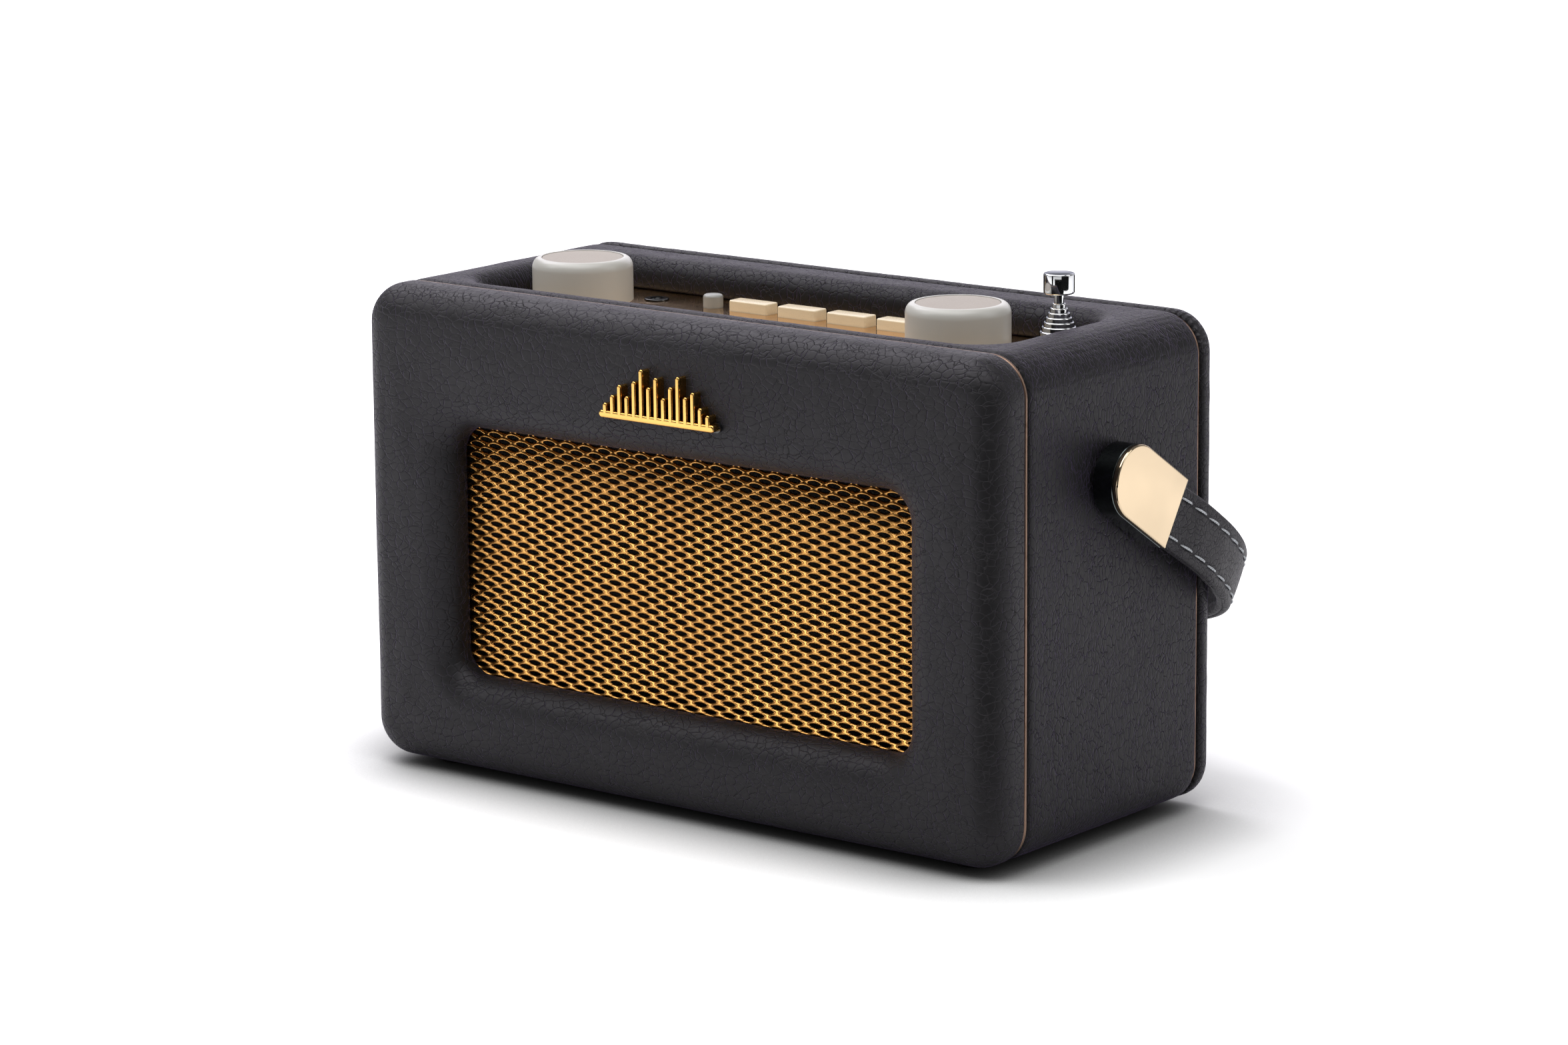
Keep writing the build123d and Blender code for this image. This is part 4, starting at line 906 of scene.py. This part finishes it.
aerial_tongue()
c = [(0, CAP_Z0)]
c += [(CAP_R - 0.5 + 0.5 * math.sin(t), CAP_Z0 + 0.5 - 0.5 * math.cos(t)) for t in np.linspace(0, math.pi / 2, 7)]
c += [(CAP_R - 0.4 + 0.4 * math.cos(t), CAP_Z1 - 0.4 + 0.4 * math.sin(t)) for t in np.linspace(0, math.pi / 2, 7)]
c += [(2.9, CAP_Z1 + 0.0), (2.75, CAP_Z1 - 0.05), (0, CAP_Z1 - 0.06)]
lathe("aerial_tip", c, AER_X, AER_Y, M["chrome"], "mast_8", ("aerial_cap",), 96, 35)

# ================================================================ strap
outer_path = [(109.1, 6.2), (109.1, 14.0), (109.2, 20.5), (110.1, 30.0), (110.2, 40.0), (109.0, 50.0), (106.6, 59.0),
              (102.4, 67.2), (96.0, 74.2), (87.4, 80.0), (76.5, 84.6), (61.0, 88.8), (41.0, 92.0), (20.5, 93.8), (0.0, 94.4)]
outer_path = outer_path + [(-x, u) for x, u in reversed(outer_path[:-1])]
PIV = np.array([0.0, PIV_Y, PIV_Z])


def strap_section():
    """(n, v) round the strap: n outward from the outer face, v across."""
    hw, t = STRAP_W / 2, STRAP_T
    pts = []
    # outer face from -v to +v with stitch grooves and a low crown
    for v in np.linspace(-hw + 1.7, hw - 1.7, 41):
        crown = -0.22 * (v / (hw - 1.7)) ** 2
        g = 0.0
        for s in (-5.4, 5.0):
            g -= 0.42 * math.exp(-((v - s) / 0.55) ** 2)
        pts.append((crown + g, v))
    for k in range(1, 8):
        a = math.pi / 2 * k / 8
        pts.append((-0.22 - 1.55 + 1.55 * math.cos(a), hw - 1.7 + 1.7 * math.sin(a)))
    pts.append((-1.85, hw))
    pts.append((-2.15, hw - 0.28))      # seam between the two leathers
    pts.append((-2.4, hw - 0.02))
    for k in range(1, 8):
        a = math.pi / 2 * k / 8
        pts.append((-t + 1.35 - 1.35 * math.sin(a), hw - 1.45 + 1.43 * math.cos(a)))
    for v in np.linspace(hw - 1.5, -hw + 1.5, 25):
        g = 0.0
        for s in (-5.4, 5.0):
            g += 0.3 * math.exp(-((v - s) / 0.5) ** 2)
        pts.append((-t + g, v))
    for k in range(1, 8):
        a = math.pi / 2 * (1 - k / 8)
        pts.append((-t + 1.35 - 1.35 * math.sin(a), -hw + 1.45 - 1.43 * math.cos(a)))
    pts.append((-2.4, -hw + 0.02))
    pts.append((-2.15, -hw + 0.28))
    pts.append((-1.85, -hw))
    for k in range(1, 8):
        a = math.pi / 2 * (1 - k / 8)
        pts.append((-0.22 - 1.55 + 1.55 * math.cos(a), -hw + 1.7 - 1.7 * math.sin(a)))
    return np.array(pts)


def build_strap():
    q, tan, s = spline(outer_path, 1.0)
    nor = np.stack([tan[:, 1], -tan[:, 0]], 1)      # outward: away from the loop's inside
    if nor[5, 0] < 0:
        nor = -nor
    sec = strap_section()
    L = s[-1]
    rings = []
    mid = L / 2
    for i in range(len(q)):
        arc = min(s[i], L - s[i])
        # bend wrinkles on the inside where the strap turns behind the case
        bend = math.exp(-((arc - 78.0) / 17.0) ** 2)
        n, v = sec[:, 0].copy(), sec[:, 1].copy()
        inside = np.clip((-n - 2.4) / 1.2, 0, 1)
        n = n + inside * bend * 0.22 * np.sin(2 * math.pi * s[i] / 2.6 + 0.9 * np.sin(v * 0.8))
        pad = 0.10 * math.sin(2 * math.pi * s[i] / 31.0) + 0.05 * math.sin(2 * math.pi * s[i] / 12.3 + 1)
        n = n + np.clip((n + 1.2) / 1.2, 0, 1) * (pad - 0.12)
        k = 1.0 - 0.012 * math.sin(2 * math.pi * s[i] / 43.0) ** 2
        P = (PIV[None] + XD[None] * (q[i, 0] + nor[i, 0] * n)[:, None] + UD[None] * (q[i, 1] + nor[i, 1] * n)[:, None] + VD[None] * (v * k)[:, None])
        rings.append(P)
    verts = np.concatenate(rings)
    m = len(sec)
    faces = grid_faces(len(q), m)
    faces.append(list(range(m))[::-1])
    faces.append([(len(q) - 1) * m + i for i in range(m)])
    o = make("padded_strap", verts, faces, M["leather_strap"], "handle", ("strap",), 60)
    # stitches: short threads in the two grooves
    sv, sf = [], []
    pitch, run, r = 6.7, 5.1, 0.27
    qs, ts, ss = q, tan, s
    for row in (-5.4, 5.0):
        count = int((L - 2 * 14.0) / pitch)
        for k in range(count):
            a0 = 14.0 + k * pitch + (0.8 if row > 0 else 0.0)
            path = []
            for j in range(9):
                f = j / 8
                a = a0 + run * f
                p = np.array([np.interp(a, s, q[:, 0]), np.interp(a, s, q[:, 1])])
                nn = np.array([np.interp(a, s, nor[:, 0]), np.interp(a, s, nor[:, 1])])
                h = -0.62 + 0.46 * math.sin(math.pi * f) ** 0.45
                path.append((p + nn * h, nn, row + 0.28 * (f - 0.5)))
            b = len(sv)
            for (p, nn, v), j in zip(path, range(9)):
                rad = r * (0.55 + 0.45 * math.sin(math.pi * j / 8) ** 0.5)
                for c in range(8):
                    t = 2 * math.pi * c / 8
                    pn = p + nn * rad * math.sin(t)
                    sv.append(PIV + XD * pn[0] + UD * pn[1] + VD * (v + rad * 1.15 * math.cos(t)))
            for j in range(8):
                for c in range(8):
                    c1 = (c + 1) % 8
                    sf.append((b + j * 8 + c, b + j * 8 + c1, b + (j + 1) * 8 + c1, b + (j + 1) * 8 + c))
            sf.append([b + c for c in range(8)][::-1])
            sf.append([b + 64 + c for c in range(8)])
    make("strap_stitches", sv, sf, M["stitch"], "handle", sharp=70)


build_strap()


# ================================================================ strap brackets
def d_loop(w, length, corner=0.35, n=56):
    """D outline, counter-clockwise: half round about the pivot and square at the strap's end. x runs across, y along."""
    r = w / 2
    pts = [(r * math.cos(t), r * math.sin(t)) for t in np.linspace(math.pi, 2 * math.pi, n)]
    c = corner
    for k in range(5):
        t = math.pi / 2 * k / 4
        pts.append((r - c + c * math.cos(t), length - c + c * math.sin(t)))
    for k in range(5):
        t = math.pi / 2 + math.pi / 2 * k / 4
        pts.append((-r + c + c * math.cos(t), length - c + c * math.sin(t)))
    return np.array(pts)


def build_bracket(side, node):
    loop = d_loop(BR_W, BR_LEN)
    m = mitres(loop)
    inner = d_loop(BR_W - 1.8, BR_LEN - 0.02, 0.2)
    verts, faces, fm = [], [], []

    def put(q, x):
        b = len(verts)
        for a, u in q:
            verts.append(PIV + XD * (side * x) + UD * u + VD * a)
        return b

    n = len(loop)
    lv = [(0.0, BR_X0), (0.0, BR_X1 - 1.75), (0.16, BR_X1 - 1.62), (0.16, BR_X1 - 1.42), (0.0, BR_X1 - 1.3)]
    for k in range(7):
        t = math.pi / 2 * k / 6
        lv.append((0.5 * (1 - math.cos(t)), BR_X1 - 0.5 + 0.5 * math.sin(t)))
    for ins, x in lv:
        put(loop - m * ins, x)
    rows = len(lv)
    f = grid_faces(rows, n)
    faces += f
    fm += [0 if (i // n) < 3 else 1 for i in range(len(f))]
    # gold face
    faces.append([(rows - 1) * n + i for i in range(n)])
    fm.append(1)
    # hollow for the base and the strap's end, open under and at the straight end
    b = put(inner, BR_X1 - 0.9)
    c = put(inner, BR_X0)
    for i in range(n):
        j = (i + 1) % n
        faces.append((b + i, b + j, c + j, c + i))
        fm.append(0)
    faces.append([b + i for i in range(n)])
    fm.append(0)
    for i in range(n):
        j = (i + 1) % n
        faces.append((i, j, c + j, c + i))
        fm.append(0)
    return make(node, verts, faces, M["bracket_dark"], "handle", (), 35, (M["gold_bracket"],), fm), verts


def finish_bracket(side, node, name):
    o, _ = build_bracket(side, name)
    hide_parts(node)
    return o


finish_bracket(1, "bracket_cover_right", "strap_bracket_right")
finish_bracket(-1, "bracket_cover_left", "strap_bracket_left")

# ================================================================ camera
a, e, roll = math.radians(38.327), math.radians(12.095), math.radians(-0.461)
back = Vector((math.sin(a) * math.cos(e), -math.cos(a) * math.cos(e), math.sin(e)))
right = Vector((math.cos(a), math.sin(a), 0))
up = back.cross(right)
R0 = right * math.cos(roll) + up * math.sin(roll)
R1 = up * math.cos(roll) - right * math.sin(roll)
target = Vector((0, 0, 66)) + R0 * 1.097 + R1 * 1.114
place = (target + back * 1323.355 + Vector((0, YC, 2.0))) * MM
cam = bpy.data.cameras.new("camera")
cam.sensor_fit = "HORIZONTAL"
cam.sensor_width = 36.0
cam.lens = 7743.05 / 2352 * 36
cam.clip_start, cam.clip_end = 0.05, 60.0
co = bpy.data.objects.new("camera", cam)
bpy.context.scene.collection.objects.link(co)
mat = Matrix((R0, R1, back)).transposed().to_4x4()
mat.translation = place
co.matrix_world = mat
bpy.context.scene.camera = co

# ================================================================ floor, lights and world
fm = bpy.data.meshes.new("floor")
fm.from_pydata([(-9, -9, 0), (9, -9, 0), (9, 9, 0), (-9, 9, 0)], [], [(0, 1, 2, 3)])
floor = bpy.data.objects.new("floor", fm)
bpy.context.scene.collection.objects.link(floor)
n = Nodes("studio_floor")
# Painted shadow: ambient occlusion darkens the floor's colour under and beside the radio, a painted contact shadow.
painted_shadow_ao = n.t.nodes.new("ShaderNodeAmbientOcclusion")
painted_shadow_ao.inputs["Distance"].default_value = 0.034
painted_shadow_ao.samples = 8
soft = n.math("POWER", painted_shadow_ao.outputs["AO"], 1.5)
paper = n.mix(n.noise(n.obj(), 3.0), (0.93, 0.93, 0.93), (0.95, 0.95, 0.95))
n.set(Base_Color=n.mix(soft, (0.03, 0.03, 0.03), paper), Roughness=0.9, Specular_IOR_Level=0.1)
# Painted light: the floor glows by emission, weaker near the radio and stronger away from it, and the glow is cut by
# the painted contact shadow.
dist = n.t.nodes.new("ShaderNodeVectorMath")
dist.operation = "LENGTH"
n.link(n.obj(), dist.inputs[0])
painted_floor_glow = n.math("MULTIPLY", n.ramp(dist.outputs["Value"], 0.10, 0.62, 0.14, 0.5), soft)
n.set(Emission_Color=(1.0, 1.0, 1.0), Emission_Strength=painted_floor_glow)
fm.materials.append(n.mat)


def area(name, loc, target, size, power, color=(1, 1, 1), spread=math.pi):
    l = bpy.data.lights.new(name, "AREA")
    l.shape = "RECTANGLE"
    l.size, l.size_y = size
    l.energy = power
    l.color = color
    l.spread = spread
    o = bpy.data.objects.new(name, l)
    o.location = loc
    d = Vector(target) - Vector(loc)
    o.rotation_euler = d.to_track_quat("-Z", "Y").to_euler()
    bpy.context.scene.collection.objects.link(o)
    o.visible_camera = False
    return o


area("key_top", (0.05, -0.40, 1.45), (0, 0, 0.05), (1.7, 1.3), 23.0)
area("left_high", (-1.05, 0.25, 1.25), (0, 0, 0.1), (0.8, 0.8), 9.0, (0.95, 0.92, 1.0))
area("back_soft", (-0.9, 1.9, 0.95), (0, 0, 0.1), (2.6, 1.3), 17.0, (0.94, 0.90, 1.0))
area("left_soft", (-1.2, -0.95, 1.25), (0, 0, 0.08), (0.75, 0.75), 7.0)
area("right_soft", (1.35, 0.55, 0.95), (0, 0, 0.08), (0.7, 1.2), 5.0)


def card(name, azimuth, dist, width, z0, z1):
    """A black card that only shows in gloss, as beside a product on a studio table."""
    t = math.radians(azimuth)
    c = Vector((math.sin(t), -math.cos(t), 0)) * dist + Vector((0.05, 0, 0))
    side = Vector((math.cos(t), math.sin(t), 0)) * width / 2
    me = bpy.data.meshes.new(name)
    me.from_pydata([tuple(c - side + Vector((0, 0, z0))), tuple(c + side + Vector((0, 0, z0))), tuple(c + side + Vector((0, 0, z1))), tuple(c - side + Vector((0, 0, z1)))], [], [(0, 1, 2, 3)])
    k = Nodes(name + "_black")
    k.set(Base_Color=k.mix(k.noise(k.obj(), 5.0), (0.004, 0.004, 0.004), (0.008, 0.008, 0.008)), Roughness=0.9, Specular_IOR_Level=0.0)
    me.materials.append(k.mat)
    o = bpy.data.objects.new(name, me)
    bpy.context.scene.collection.objects.link(o)
    o.visible_camera = False
    o.visible_diffuse = False
    o.visible_shadow = False
    o.visible_transmission = False


card("card_right", 81.0, 0.55, 0.58, 0.002, 0.16)
card("card_front", -12.0, 0.62, 0.13, 0.002, 0.16)


def floor_card(name, a0, a1, r0, r1):
    """The dark stretch of studio floor in front, to the right: it only shows in gloss."""
    pts, faces = [], []
    m = 24
    for i in range(m + 1):
        t = math.radians(a0 + (a1 - a0) * i / m)
        for r in (r0, r1):
            pts.append((0.09 + math.sin(t) * r, -0.05 - math.cos(t) * r, 0.0015))
    for i in range(m):
        faces.append((2 * i, 2 * i + 1, 2 * i + 3, 2 * i + 2))
    me = bpy.data.meshes.new(name)
    me.from_pydata(pts, [], faces)
    k = Nodes(name + "_black")
    k.set(Base_Color=k.mix(k.noise(k.obj(), 5.0), (0.004, 0.004, 0.004), (0.008, 0.008, 0.008)), Roughness=0.9, Specular_IOR_Level=0.0)
    me.materials.append(k.mat)
    o = bpy.data.objects.new(name, me)
    bpy.context.scene.collection.objects.link(o)
    o.visible_camera = False
    o.visible_diffuse = False
    o.visible_shadow = False
    o.visible_transmission = False


floor_card("card_floor", 2.0, 74.0, 0.06, 1.8)
card("card_back_1", 184.0, 0.5, 0.30, 0.002, 0.085)
card("card_back_2", 216.0, 0.5, 0.30, 0.002, 0.085)
card("card_back_3", 246.0, 0.5, 0.24, 0.002, 0.085)

w = bpy.data.worlds.new("studio")
bpy.context.scene.world = w
w.use_nodes = True
wt = w.node_tree
bg = wt.nodes["Background"]
bg.inputs["Strength"].default_value = 1.0


def world_nodes():
    """A pale band at the horizon, a soft grey above it, and a darker stretch high in front, as in a studio with the room lights off."""
    tc = wt.nodes.new("ShaderNodeTexCoord")
    sep = wt.nodes.new("ShaderNodeSeparateXYZ")
    wt.links.new(tc.outputs["Generated"], sep.inputs[0])
    dot = wt.nodes.new("ShaderNodeVectorMath")
    dot.operation = "DOT_PRODUCT"
    wt.links.new(tc.outputs["Generated"], dot.inputs[0])
    dot.inputs[1].default_value = Vector((0.12, -0.80, 0.58)).normalized()

    def mr(v, lo, hi, a, b):
        n = wt.nodes.new("ShaderNodeMapRange")
        n.interpolation_type = "SMOOTHSTEP"
        wt.links.new(v, n.inputs["Value"])
        for k, x in zip(("From Min", "From Max", "To Min", "To Max"), (lo, hi, a, b)):
            n.inputs[k].default_value = x
        return n.outputs["Result"]

    high = mr(dot.outputs["Value"], 0.62, 0.93, 0.18, 0.03)
    band = mr(sep.outputs[2], 0.06, 0.20, 1.0, 0.0)
    mix = wt.nodes.new("ShaderNodeMix")
    mix.data_type = "FLOAT"
    wt.links.new(band, mix.inputs[0])
    wt.links.new(high, mix.inputs[2])
    mix.inputs[3].default_value = 0.5
    col = wt.nodes.new("ShaderNodeCombineColor")
    for i in range(3):
        wt.links.new(mix.outputs[0], col.inputs[i])
    wt.links.new(col.outputs[0], bg.inputs["Color"])


world_nodes()

s = bpy.context.scene
s.view_settings.view_transform = "Standard"
s.view_settings.look = "None"
s.view_settings.exposure = 0.0
s.view_settings.gamma = 1.0
